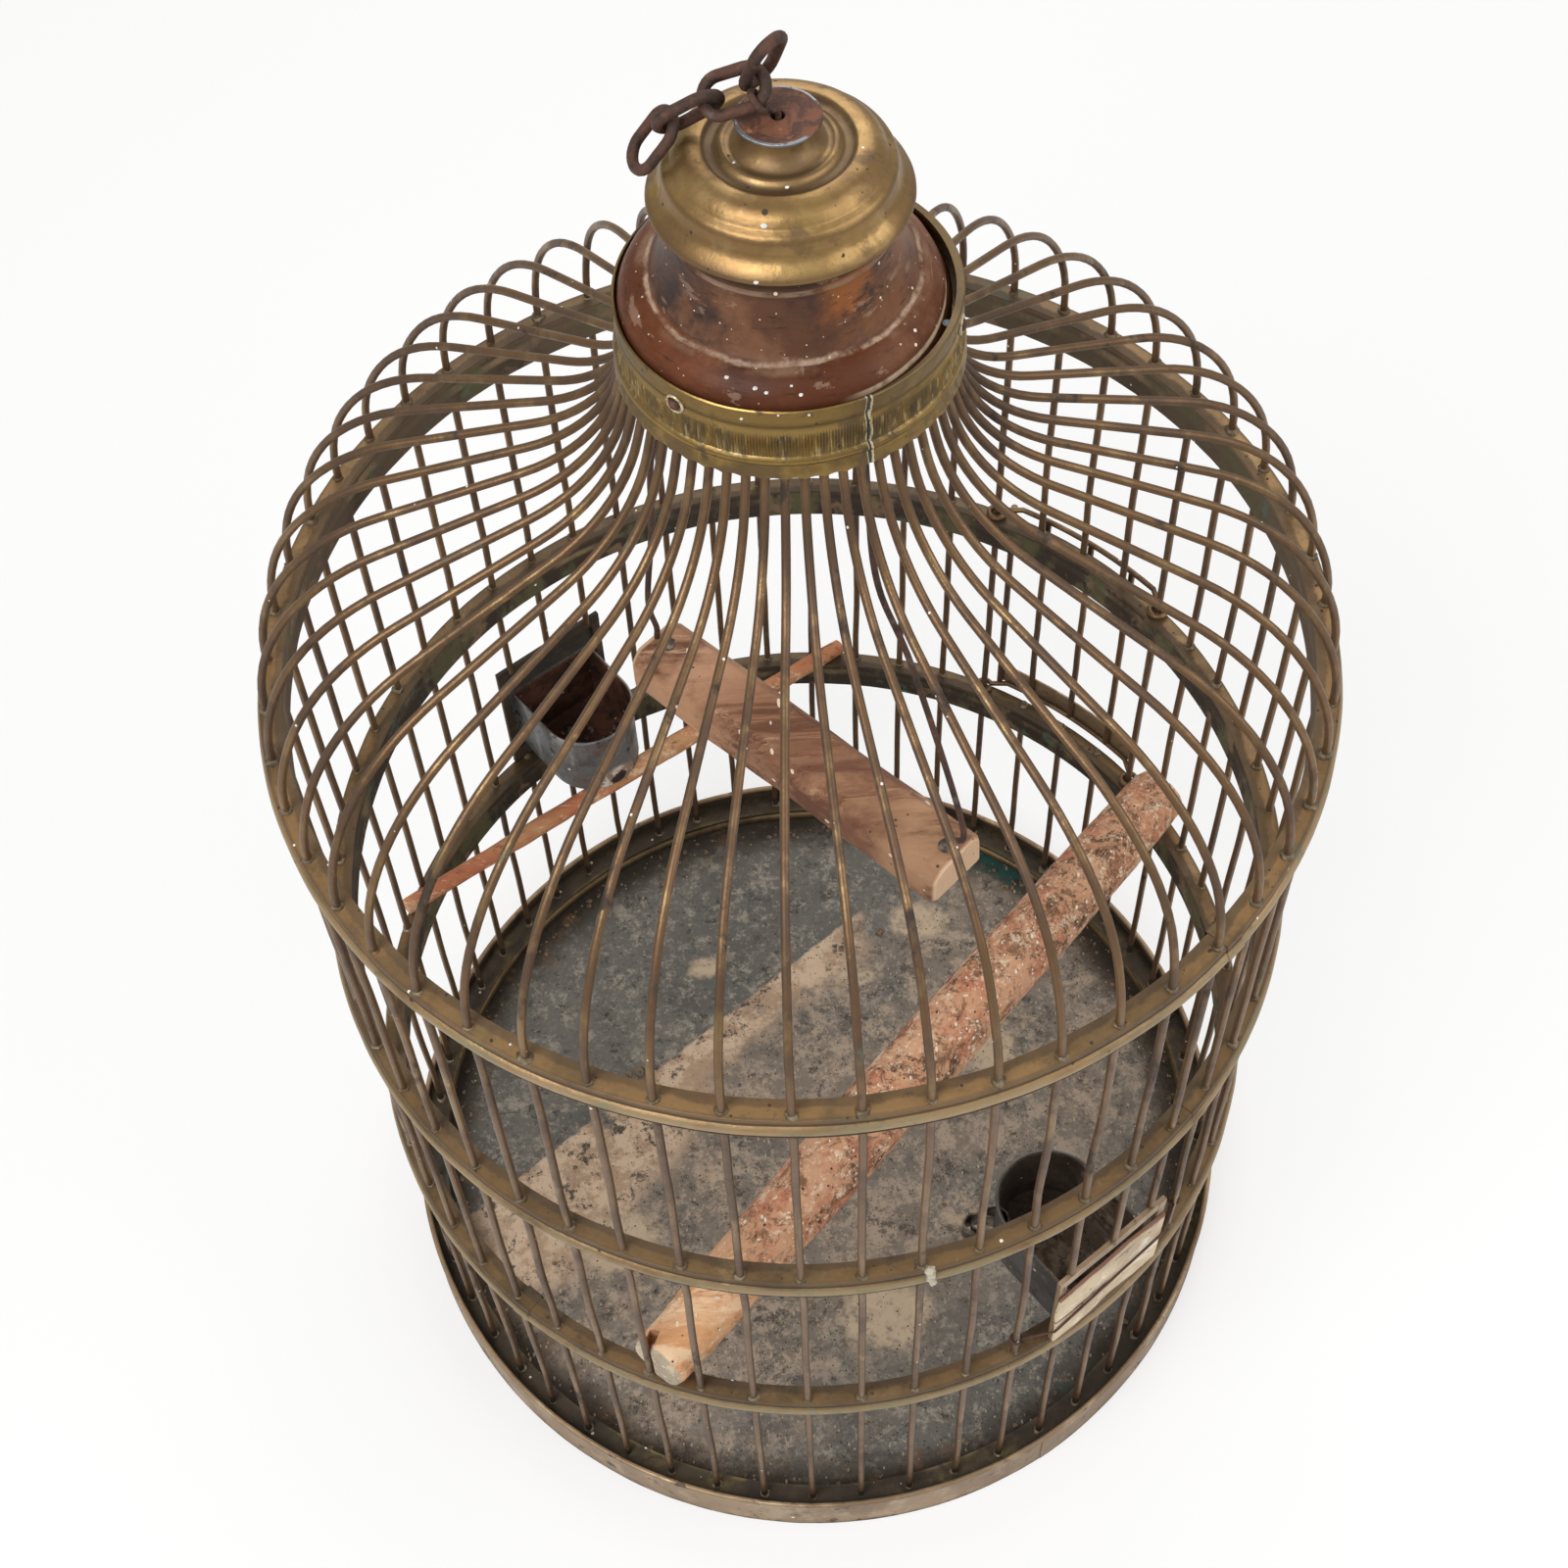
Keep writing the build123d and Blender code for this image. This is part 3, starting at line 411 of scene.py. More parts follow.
def block_look():
    """Turned wood with old red-brown finish, worn to pale wood on its ridge."""
    look = Look("block_wood", (0.088, 0.028, 0.012), 0.36)
    look.patch(26, 0.42, 0.68, (0.165, 0.054, 0.021), 0.34, stretch=(1, 1, 2.5))
    look.patch(14, 0.5, 0.64, (0.045, 0.017, 0.011), 0.42, share=0.85, bend=0.6, shift=(3, 3, 0))
    out = look.out_from()
    cone = look.both(look.step(out, 0.0404, 0.0396), look.step(look.up, 0.594, 0.596))
    look.layer(cone, (0.085, 0.043, 0.026), 0.34, None, 0.75)
    warm = look.both(cone, look.step(look.ragged(look.x, 40, 0.012), 0.006, 0.024))
    look.patch(40, 0.3, 0.5, (0.185, 0.078, 0.034), 0.36, None, 0.75, where=warm, shift=(8, 6, 2))
    look.patch(24, 0.44, 0.6, (0.03, 0.021, 0.02), 0.36, None, 0.9, where=cone, bend=0.4, shift=(8, 1, 2))
    look.patch(34, 0.5, 0.66, (0.185, 0.085, 0.045), 0.4, None, 0.75, where=cone, shift=(2, 5, 2))
    stain = look.both(look.step(look.x, 0.002, 0.016), look.step(look.up, 0.6, 0.607),
                      look.step(look.y, 0.0, -0.008))
    look.patch(44, 0.4, 0.58, (0.26, 0.088, 0.026), 0.4, None, 0.85, where=stain, shift=(2, 2, 2))
    look.patch(90, 0.52, 0.62, (0.03, 0.021, 0.02), 0.4, None, 0.8, where=stain, shift=(2, 9, 2))
    right = look.both(look.step(look.x, 0.018, 0.042), look.step(out, 0.0405, 0.0425))
    look.patch(30, 0.34, 0.56, (0.235, 0.105, 0.052), 0.4, None, 0.7, where=right, shift=(2, 4, 2))
    ridge = look.ragged(out, 80, 0.0036)
    around = look.band(look.ragged(out, 60, 0.004), 0.039, 0.0452, 0.0022)
    look.patch(44, 0.44, 0.66, (0.27, 0.17, 0.11), 0.5, None, 0.55, where=around, shift=(0, 5, 7))
    bead = look.both(look.band(ridge, 0.04, 0.0422, 0.0009), look.step(look.up, 0.5935, 0.5945))
    look.patch(90, 0.38, 0.64, (0.46, 0.33, 0.235), 0.6, None, 0.85, where=bead, **FLAKED, shift=(0, 5, 2))
    flange = look.both(look.step(look.up, 0.5915, 0.586), look.step(out, 0.04, 0.046))
    look.layer(flange, (0.055, 0.016, 0.008), 0.36, None, 0.6)
    neck = look.band(look.up, 0.6146, 0.6168, 0.0006)
    look.patch(60, 0.36, 0.54, (0.26, 0.17, 0.11), 0.6, None, 0.75, where=neck, shift=(0, 5, 5))
    # Painted shade on the neck under the cap
    look.layer(look.step(look.up, 0.6165, 0.618), (0.05, 0.026, 0.013), 0.6, None, 0.9)
    side = look.both(look.step(look.x, 0.012, 0.028), look.band(look.up, 0.5858, 0.5884, 0.0007))
    look.patch(40, 0.4, 0.56, (0.5, 0.38, 0.26), 0.6, None, 0.9, where=side, shift=(0, 5, 9))
    # Painted shade on the wood inside the collar
    look.layer(look.step(look.up, 0.5852, 0.583), (0.025, 0.01, 0.006), 0.6, None, 0.85)
    grain = look.cloud(90, 7, 0.7, 0.3, stretch=(1, 1, 6), shift=(1, 1, 1))
    look.layer(look.step(grain, 0.58, 0.66), (0.026, 0.011, 0.008), 0.5, None, 0.6)
    look.patch(20, 0.6, 0.63, (0.36, 0.25, 0.18), 0.6, None, 0.35, stretch=(4, 1, 9), shift=(4, 4, 4))
    look.specks(300, 0.18, 0.1, (0.7, 0.62, 0.52), shift=(2, 2, 2))
    look.specks(620, 0.24, 0.12, (0.48, 0.39, 0.31), shift=(2, 8, 2))
    look.bump(grain, 0.2, 0.0012)
    look.relief(300, 0.12, 0.001)
    return look.done(0.14)


def rust_look():
    look = Look("rusty_iron", (0.095, 0.042, 0.026), 0.68, 0.25)
    look.patch(120, 0.42, 0.6, (0.05, 0.03, 0.023), 0.6, 0.45)
    look.patch(210, 0.56, 0.7, (0.165, 0.07, 0.037), 0.75, 0.1, 0.8, shift=(3, 3, 3))
    look.patch(90, 0.6, 0.7, (0.14, 0.115, 0.1), 0.45, 0.6, 0.8, shift=(1, 8, 3))
    look.relief(700, 0.45, 0.0012)
    look.relief(170, 0.35, 0.002)
    return look.done()


def washer_look():
    look = Look("washer_rust", (0.165, 0.06, 0.028), 0.7, 0.1)
    look.patch(130, 0.44, 0.58, (0.06, 0.024, 0.015), 0.7, 0.1, 0.9, bend=0.6)
    look.patch(260, 0.6, 0.7, (0.3, 0.12, 0.06), 0.85, 0.0, shift=(4, 1, 1))
    edge = look.step(look.out_from(), 0.0112, 0.0119)
    look.patch(110, 0.4, 0.52, (0.3, 0.31, 0.33), 0.35, 0.85, where=edge, shift=(4, 1, 9))
    look.relief(700, 0.4, 0.001)
    return look.done()


def floor_look():
    """Dull zinc with grit, a strip of dried litter with one straight edge, and flakes beside it."""
    look = Look("floor_zinc", (0.114, 0.107, 0.095), 0.5, 0.3)
    look.patch(8, 0.42, 0.62, (0.158, 0.146, 0.126), 0.55, 0.25)
    look.patch(40, 0.5, 0.7, (0.058, 0.056, 0.05), 0.5, 0.3, 0.7, **FINE, shift=(2, 2, 0))
    look.patch(300, 0.52, 0.66, (0.27, 0.255, 0.225), 0.7, 0.1, 0.7, detail=9, grit=0.9, shift=(2, 6, 0))
    look.patch(120, 0.5, 0.6, (0.35, 0.31, 0.25), 0.7, 0.1, 0.8, **GRITTY, shift=(6, 2, 0))
    look.patch(150, 0.54, 0.62, (0.032, 0.029, 0.025), 0.7, 0.1, 0.8, **GRITTY, shift=(6, 8, 0))
    past = look.line(0.623, -0.782, 0.0799)
    along = look.line(0.782, 0.623)
    beside = look.step(past, -0.004, 0.004)
    far = look.both(look.step(look.ragged(past, 16, 0.06), 0.0, 0.04), look.step(past, 0.23, 0.15))
    look.patch(20, 0.34, 0.58, (0.24, 0.19, 0.148), 0.7, 0.1, 0.75, where=far, detail=8, shift=(3, 6, 0))
    look.patch(60, 0.48, 0.58, (0.43, 0.335, 0.25), 0.85, 0.0, 0.8, where=far, **GRITTY, shift=(3, 0, 6))
    look.patch(100, 0.52, 0.6, (0.045, 0.036, 0.032), 0.8, 0.0, 0.8, where=far, **GRITTY, shift=(3, 0, 1))
    look.patch(34, 0.54, 0.62, (0.46, 0.345, 0.24), 0.9, 0.0, 0.8, where=far, **GRITTY, shift=(8, 0, 6))
    wide = look.math("MULTIPLY_ADD", look.step(along, 0.02, -0.12), 0.036, 0.02)
    inner = look.math("SUBTRACT", look.ragged(past, 26, 0.035, bend=0.4), wide)
    strip = look.both(look.step(look.ragged(past, 160, 0.004), -0.0008, 0.0008),
                      look.step(inner, 0.008, -0.01))
    strip = look.both(strip, look.step(look.ragged(along, 30, 0.05), 0.105, 0.085))
    look.patch(40, 0.36, 0.46, (0.4, 0.275, 0.18), 0.9, 0.0, 0.95, where=strip, detail=9, grit=0.7,
               shift=(9, 3, 0))
    look.patch(70, 0.44, 0.56, (0.6, 0.45, 0.32), 0.92, 0.0, 0.9, where=strip, **FINE, shift=(9, 3, 3))
    look.patch(90, 0.555, 0.6, (0.05, 0.042, 0.036), 0.8, 0.1, 0.9, where=strip, **FINE, shift=(1, 3, 3))
    flakes = ((0.06, 0.12, 1.5, 0.02), (0.028, 0.088, 2.0, 0.016), (-0.052, 0.098, 1.2, 0.012),
              (0.095, 0.04, 1.0, 0.018), (-0.1, -0.055, 1.3, 0.024), (0.03, -0.1, 1.4, 0.026))
    for x, y, squeeze, reach in flakes:
        away = look.ragged(look.out_from(x, y, squeeze), 60, 0.03, detail=9)
        spot = look.step(away, reach, reach - 0.008)
        look.patch(120, 0.36, 0.52, (0.52, 0.4, 0.275), 0.92, 0.0, 0.9, where=spot, **FINE, shift=(x, y, 9))
    look.patch(90, 0.6, 0.68, (0.032, 0.029, 0.025), 0.6, 0.1, 0.7, where=beside, **FINE, bend=0.6,
               shift=(2, 7, 7))
    look.patch(9, 0.6, 0.64, (0.26, 0.25, 0.235), 0.6, 0.2, 0.35, detail=9, grit=0.7,
               stretch=(0.5, 3, 1), turn=0.15)
    # Darker towards the wall: partly grime, partly painted shade along the foot of the ledge
    rim = look.step(look.ragged(look.out_from(), 24, 0.03), 0.162, 0.184)
    look.layer(rim, (0.042, 0.031, 0.021), 0.9, 0.0, 0.9)
    look.patch(50, 0.56, 0.64, (0.155, 0.088, 0.046), 0.9, 0.0, 0.8, where=rim, detail=8, shift=(5, 0, 9))
    look.patch(26, 0.6, 0.68, (0.04, 0.09, 0.065), 0.85, 0.0, 0.5, where=rim, shift=(5, 7, 9))
    strip_of_teal = look.band(look.ragged(look.aside(55), 90, 0.01), -0.021, 0.017, 0.002)
    teal = look.both(strip_of_teal, look.step(look.toward(55), 0.15, 0.16),
                     look.step(look.out_from(), 0.177, 0.1785))
    look.patch(90, 0.4, 0.52, (0.03, 0.105, 0.092), 0.85, 0.0, 0.85, where=teal, **FLAKED, shift=(5, 2, 9))
    look.specks(420, 0.26, 0.22, (0.34, 0.28, 0.2), shift=(2, 2, 0))
    look.specks(560, 0.32, 0.2, (0.31, 0.265, 0.205), where=beside, stretch=(1, 0.5, 1), turn=0.9,
                shift=(7, 2, 0))
    look.specks(520, 0.34, 0.26, (0.38, 0.31, 0.22), where=far, stretch=(1, 0.5, 1), turn=-0.6,
                shift=(7, 9, 0))
    look.specks(640, 0.3, 0.3, (0.03, 0.024, 0.018), where=beside, shift=(5, 2, 0))
    look.relief(90, 0.4, 0.002, **STREAKED)
    look.relief(400, 0.3, 0.0008)
    return look.done(0.22)


def zinc_look():
    look = Look("cup_zinc", (0.19, 0.192, 0.192), 0.42, 0.55)
    look.patch(40, 0.44, 0.62, (0.085, 0.08, 0.075), 0.5, 0.4)
    look.patch(60, 0.56, 0.68, (0.42, 0.43, 0.43), 0.4, 0.6, 0.8, stretch=(1, 1, 0.4), shift=(6, 2, 3))
    look.patch(75, 0.56, 0.68, (0.13, 0.058, 0.034), 0.85, 0.0, 0.8, shift=(2, 2, 0))
    look.patch(95, 0.58, 0.68, (0.028, 0.02, 0.016), 0.8, 0.1, shift=(2, 7, 3))
    height = look.math("ADD", look.up, -TORN[2])
    level = look.out_from(TORN[0], TORN[1])
    squared = look.math("ADD", look.both(level, level), look.both(height, height))
    away = look.ragged(look.math("SQRT", squared), 160, 0.008)
    look.layer(look.step(away, 0.0105, 0.0075), (0.3, 0.19, 0.115), 0.9, 0.0, 0.85)
    look.patch(170, 0.46, 0.58, (0.7, 0.64, 0.55), 0.8, 0.0, 0.9, where=look.step(away, 0.011, 0.007),
               shift=(3, 3, 3))
    look.layer(look.step(away, 0.0045, 0.0035), (0.02, 0.009, 0.006), 0.9, 0.0)
    look.layer(look.step(look.y, -0.05, -0.08), (0.05, 0.043, 0.037), 0.5, 0.4, 0.55)
    above_cup = look.step(look.up, 0.2003, 0.2012)
    look.layer(above_cup, (0.034, 0.025, 0.016), 0.8, 0.1, 0.88)
    look.patch(60, 0.48, 0.62, (0.1, 0.082, 0.034), 0.7, 0.2, 0.8, where=above_cup, shift=(7, 2, 3))
    look.specks(260, 0.22, 0.08, (0.66, 0.6, 0.52), shift=(6, 2, 8))
    look.relief(300, 0.35, 0.0012)
    look.relief(50, 0.3, 0.004, shift=(1, 2, 3))
    return look.done()


def grime_and_shade_look(name, base, light):
    """Inside of a cup: dregs, dust and rust, with painted shade across the round back of the front cup."""
    look = Look(name, base, 0.75, 0.1)
    look.patch(50, 0.46, 0.6, light, 0.9, 0.0, 0.9, **FINE)
    look.patch(80, 0.54, 0.64, (0.105, 0.045, 0.026), 0.85, 0.0, 0.7, shift=(7, 2, 0))
    look.patch(110, 0.54, 0.62, (0.014, 0.009, 0.007), 0.8, 0.0, 0.85, **FINE, shift=(4, 2, 0))
    # Painted shade across the round back of the front cup
    painted_shade_side = look.band(look.ragged(look.line(0.597, -0.802), 60, 0.012), 0.05, 0.158, 0.008)
    look.layer(painted_shade_side, (0.026, 0.016, 0.011), 0.8, 0.0, 0.85)
    look.specks(380, 0.26, 0.14, (0.45, 0.38, 0.3), shift=(6, 2, 8))
    look.relief(220, 0.5, 0.002)
    return look.done(0.22)


def plate_look():
    """Cream paint gone grey-tan, chipped to red-brown along its edges; the dark line of its crease is chipped
    paint and painted shade of the fold.
    """
    look = Look("plate_paint", (0.66, 0.53, 0.36), 0.6)
    look.patch(30, 0.4, 0.62, (0.47, 0.365, 0.245), 0.65)
    look.patch(60, 0.54, 0.66, (0.8, 0.71, 0.56), 0.55, shift=(2, 2, 0))
    look.patch(90, 0.58, 0.68, (0.3, 0.27, 0.215), 0.8, None, 0.8, shift=(2, 7, 3))
    height = look.ragged(look.up, 70, 0.006)
    look.layer(look.step(height, 0.194, 0.1955), (0.155, 0.05, 0.03), 0.8, None, 0.85)
    # Dark line of the crease: chipped paint and painted shade of the fold
    look.layer(look.band(height, 0.17, 0.1722, 0.0006), (0.115, 0.04, 0.026), 0.8, None, 0.85)
    look.layer(look.step(height, 0.1528, 0.1518), (0.155, 0.06, 0.036), 0.8, None, 0.8)
    look.specks(320, 0.28, 0.12, (0.085, 0.045, 0.025), shift=(7, 2, 0))
    look.relief(200, 0.3, 0.001)
    return look.done(0.22)


def log_look():
    """Log with flaky bark on its upper end and bare orange wood on its lower end."""
    look = Look("log_wood", (0.78, 0.47, 0.265), 0.68)
    grain = {"turn": -radians(47.4)}
    look.patch(60, 0.48, 0.62, (0.9, 0.66, 0.43), 0.65, stretch=(0.2, 1, 1), **grain)
    look.patch(40, 0.525, 0.585, (0.44, 0.155, 0.055), 0.6, None, 0.9, stretch=(0.35, 1, 1), **FLAKED,
               shift=(2, 2, 2), **grain)
    along = look.line(0.677, 0.736)
    bark = look.step(look.ragged(along, 18, 0.09, shift=(4, 4, 0)), -0.15, -0.115)
    look.patch(40, 0.28, 0.46, (0.6, 0.33, 0.195), 0.8, None, 0.9, where=bark, **FINE, shift=(1, 0, 3))
    look.patch(50, 0.48, 0.58, (0.52, 0.19, 0.105), 0.8, None, 0.85, where=bark, **FINE, shift=(1, 5, 3))
    look.patch(80, 0.5, 0.57, (0.2, 0.1, 0.055), 0.85, None, 0.9, where=bark, **GRITTY, bend=0.5,
               shift=(1, 8, 3))
    look.patch(54, 0.53, 0.59, (0.07, 0.042, 0.026), 0.9, None, 0.9, where=bark, **GRITTY, bend=0.4,
               shift=(8, 8, 3))
    look.patch(150, 0.53, 0.59, (0.8, 0.61, 0.43), 0.8, None, 0.85, where=bark, **GRITTY, shift=(8, 1, 3))
    look.patch(36, 0.6, 0.68, (0.56, 0.19, 0.095), 0.75, None, 0.5, shift=(6, 1, 6))
    look.patch(60, 0.58, 0.64, (0.12, 0.06, 0.03), 0.85, None, 0.85, **FINE, bend=0.5, shift=(3, 8, 6))
    look.layer(look.step(look.ragged(along, 80, 0.02), 0.172, 0.184), (0.66, 0.36, 0.18), 0.7, None, 0.8)
    low = look.step(look.ragged(along, 40, 0.05), -0.12, -0.145)
    look.patch(60, 0.3, 0.56, (0.62, 0.29, 0.12), 0.65, None, 0.85, where=low, stretch=(0.14, 1, 1),
               **STREAKED, shift=(2, 5, 2), **grain)
    look.patch(70, 0.5, 0.6, (0.9, 0.66, 0.43), 0.65, None, 0.8, where=low, stretch=(0.12, 1, 1), **STREAKED,
               shift=(2, 5, 8), **grain)
    end = look.step(look.ragged(along, 120, 0.002), -0.1762, -0.1772)
    look.layer(end, (0.62, 0.52, 0.39), 0.8, None, 0.95)
    look.patch(80, 0.46, 0.58, (0.36, 0.29, 0.21), 0.85, None, 0.8, where=end, shift=(6, 1, 9))
    look.specks(520, 0.34, 0.3, (0.82, 0.72, 0.58), stretch=(1, 0.5, 1), turn=0.5, shift=(5, 2, 0))
    look.specks(480, 0.34, 0.24, (0.76, 0.62, 0.46), stretch=(0.5, 1, 1), turn=0.2, shift=(5, 6, 0))
    look.specks(480, 0.3, 0.16, (0.07, 0.042, 0.026), shift=(5, 9, 0))
    look.relief(90, 0.6, 0.0022, detail=8, grit=0.8, bend=0.5, shift=(1, 0, 3))
    look.relief(45, 0.4, 0.004, stretch=(0.3, 1, 1), **grain)
    return look.done(0.22)


def swing_look():
    look = Look("swing_split", (0.25, 0.118, 0.06), 0.58)
    grain = {"turn": radians(44.7)}
    look.patch(44, 0.42, 0.6, (0.36, 0.19, 0.105), 0.55, stretch=(0.12, 1, 1), **STREAKED, **grain)
    look.patch(90, 0.47, 0.57, (0.115, 0.046, 0.024), 0.65, None, 0.9, stretch=(0.07, 1, 1), **STREAKED,
               shift=(2, 2, 2), **grain)
    look.patch(110, 0.57, 0.64, (0.56, 0.35, 0.215), 0.65, None, 0.8, stretch=(0.12, 1, 1), **FINE,
               shift=(2, 9, 2), **grain)
    along = look.line(0.711, -0.703)
    right = look.step(look.ragged(along, 22, 0.05), -0.03, 0.03)
    look.patch(22, 0.44, 0.6, (0.15, 0.055, 0.032), 0.5, None, 0.75, where=right, shift=(4, 2, 2))
    left = look.step(along, -0.02, -0.05)
    look.patch(30, 0.4, 0.56, (0.5, 0.28, 0.165), 0.65, None, 0.7, where=left, shift=(1, 2, 2))
    tip = look.step(look.ragged(along, 40, 0.03, shift=(7, 2, 2)), 0.04, 0.06)
    look.patch(40, 0.36, 0.54, (0.46, 0.265, 0.15), 0.6, None, 0.75, where=tip, stretch=(0.4, 1, 1),
               shift=(2, 6, 2), **grain)
    look.layer(look.both(look.step(look.up, 0.3475, 0.344), left), (0.55, 0.3, 0.16), 0.65, None, 0.5)
    look.layer(look.step(along, 0.0768, 0.0782), (0.74, 0.5, 0.32), 0.7, None, 0.9)
    look.layer(look.step(along, -0.076, -0.0774), (0.62, 0.4, 0.25), 0.7, None, 0.85)
    look.specks(260, 0.28, 0.16, (0.74, 0.62, 0.48), stretch=(1, 0.4, 1), shift=(5, 2, 0))
    look.specks(420, 0.28, 0.12, (0.09, 0.05, 0.03), shift=(5, 9, 0))
    look.relief(75, 0.5, 0.002, detail=7, grit=0.7, stretch=(0.12, 1, 1), **grain)
    look.relief(220, 0.3, 0.001)
    return look.done(0.22)


def stick_look():
    look = Look("stick_peeled", (0.46, 0.25, 0.12), 0.65)
    grain = {"turn": -radians(33.3)}
    look.patch(40, 0.4, 0.62, (0.42, 0.15, 0.072), 0.65, stretch=(0.3, 1, 1), **grain)
    look.patch(130, 0.53, 0.6, (0.68, 0.49, 0.31), 0.65, None, 0.8, stretch=(0.3, 1, 1), **FINE,
               shift=(2, 2, 2), **grain)
    look.patch(110, 0.54, 0.62, (0.17, 0.06, 0.034), 0.85, None, 0.85, stretch=(0.5, 1, 1), **FINE,
               shift=(2, 7, 2), **grain)
    look.specks(300, 0.3, 0.2, (0.78, 0.7, 0.58), stretch=(1, 0.5, 1), shift=(5, 2, 0))
    look.relief(110, 0.5, 0.002)
    return look.done(0.22)


def plain_look(name, colour, other, rough, metal=0.0, scale=120):
    look = Look(name, colour, rough, metal)
    look.patch(scale, 0.44, 0.62, other, rough, metal)
    look.relief(scale * 3, 0.3, 0.001)
    return look.done()


WIRE, BAND, LEDGE = wire_look(), band_look(), ledge_look()
HOOPS = {name: hoop_look(name + "_brass", top, HOOP_LIGHTING[name]) for name, top in HOOP_TOPS.items()}
CAP, COLLAR, BLOCK = cap_look(), collar_look(), block_look()
RUST, WASHER, FLOOR, ZINC = rust_look(), washer_look(), floor_look(), zinc_look()
GRIME = grime_and_shade_look("cup_grime", (0.05, 0.021, 0.013), (0.115, 0.048, 0.028))
DUST_AND_SHADE = grime_and_shade_look("cup_dust_and_shade", (0.115, 0.086, 0.062), (0.31, 0.245, 0.175))
PLATE, LOG, SWING, STICK = plate_look(), log_look(), swing_look(), stick_look()
SOLDER = plain_look("solder_grey", (0.115, 0.084, 0.05), (0.235, 0.185, 0.115), 0.5, 0.4, 300)
HUSK = plain_look("seed_husks", (0.21, 0.145, 0.082), (0.085, 0.055, 0.034), 0.85, 0.0, 900)
TIN_AND_HOLE_SHADE = plain_look("curled_tin", (0.038, 0.031, 0.027), (0.24, 0.19, 0.14), 0.5, 0.4, 160)


# Shapes
def wobble(place, scale, seed=0):
    """Smooth noise from -1 to 1 at a place in millimetres."""
    return noise.noise(Vector(place) * scale + Vector((seed * 7.13, seed * 3.7, seed * 1.9)))


def at(radius, azimuth, height=0.0):
    return Vector((radius * cos(radians(azimuth)), radius * sin(radians(azimuth)), height))


def along_line(low, high, steps):
    """Numbers from low to high, both included."""
    return [low + (high - low) * i / steps for i in range(steps + 1)]


def circle(count):
    """Angles round a full turn, in radians."""
    return [2 * pi * i / count for i in range(count)]


class Shape:
    """Vertices and faces in millimetres, gathered from several forms."""

    def __init__(self):
        self.verts, self.faces = [], []

    def add(self, verts, faces):
        start = len(self.verts)
        self.verts += [Vector(v) for v in verts]
        self.faces += [tuple(start + i for i in face) for face in faces]
        return self

    def grid(self, rows, closed_rows=False, closed_cols=True, caps=False):
        """Quads over rows of points; every row has the same count."""
        n, m = len(rows), len(rows[0])
        verts = [p for row in rows for p in row]
        faces = []
        for i in range(n if closed_rows else n - 1):
            for j in range(m if closed_cols else m - 1):
                a, b = i * m + j, i * m + (j + 1) % m
                c, d = (i + 1) % n * m + (j + 1) % m, (i + 1) % n * m + j
                faces.append((a, b, c, d))
        if caps:
            faces.append(tuple(range(m))[::-1])
            faces.append(tuple((n - 1) * m + j for j in range(m)))
        return self.add(verts, faces)

    def lathe(self, outline, segments, shape=None, closed=True):
        """An outline of (radius, height) points turned round the axis."""
        rows = []
        for i in range(segments):
            azimuth = 360 * i / segments
            row = []
            for j, (radius, height) in enumerate(outline):
                if shape:
                    radius, height = shape(azimuth, j, radius, height)
                row.append(at(radius, azimuth, height))
            rows.append(row)
        return self.grid(rows, closed_rows=True, closed_cols=closed)

    def tube(self, points, radius, sides=10, closed=False, swell=None):
        """A round rod along points."""
        points = [Vector(p) for p in points]
        n = len(points)
        rows, normal = [], None
        for i, p in enumerate(points):
            if closed:
                heading = (points[(i + 1) % n] - points[i - 1]).normalized()
            else:
                heading = (points[min(i + 1, n - 1)] - points[max(i - 1, 0)]).normalized()
            if normal is None:
                other = Vector((0, 0, 1)) if abs(heading.z) < 0.9 else Vector((1, 0, 0))
                normal = heading.cross(other).normalized()
            else:
                normal = (normal - heading * normal.dot(heading)).normalized()
            side = heading.cross(normal)
            row = []
            for j, t in enumerate(circle(sides)):
                reach = radius * (swell(p, j, i) if swell else 1)
                row.append(p + (normal * cos(t) + side * sin(t)) * reach)
            rows.append(row)
        return self.grid(rows, closed_rows=closed, caps=not closed)

    def blob(self, centre, size, seed, flat, sides, rings, rough):
        """A lump: a ball squeezed in height, with an uneven skin."""
        rows = []
        for i in range(1, rings):
            t = pi * i / rings
            row = []
            for a in circle(sides):
                d = Vector((sin(t) * cos(a), sin(t) * sin(a), cos(t) * flat))
                row.append(centre + d * size * (1 + rough * wobble(d, 1.7, seed)))
            rows.append(row)
        start = len(self.verts)
        self.grid(rows)
        top = len(self.verts)
        self.verts += [centre + Vector((0, 0, size * flat)), centre - Vector((0, 0, size * flat))]
        last = start + (rings - 2) * sides
        for j in range(sides):
            following = (j + 1) % sides
            self.faces.append((start + following, start + j, top))
            self.faces.append((last + j, last + following, top + 1))
        return self


def soften(points, radius, closed=True):
    """Rounds the corners of an outline."""
    out, n, steps = [], len(points), 3
    for i, p in enumerate(points):
        p = Vector(p)
        if not closed and i in (0, n - 1):
            out.append(tuple(p))
            continue
        before, after = Vector(points[i - 1]) - p, Vector(points[(i + 1) % n]) - p
        cut = min(radius, before.length * 0.45, after.length * 0.45)
        a, b = p + before.normalized() * cut, p + after.normalized() * cut
        for s in range(steps + 1):
            t = s / steps
            out.append(tuple(a * (1 - t) ** 2 + p * 2 * t * (1 - t) + b * t * t))
    return out


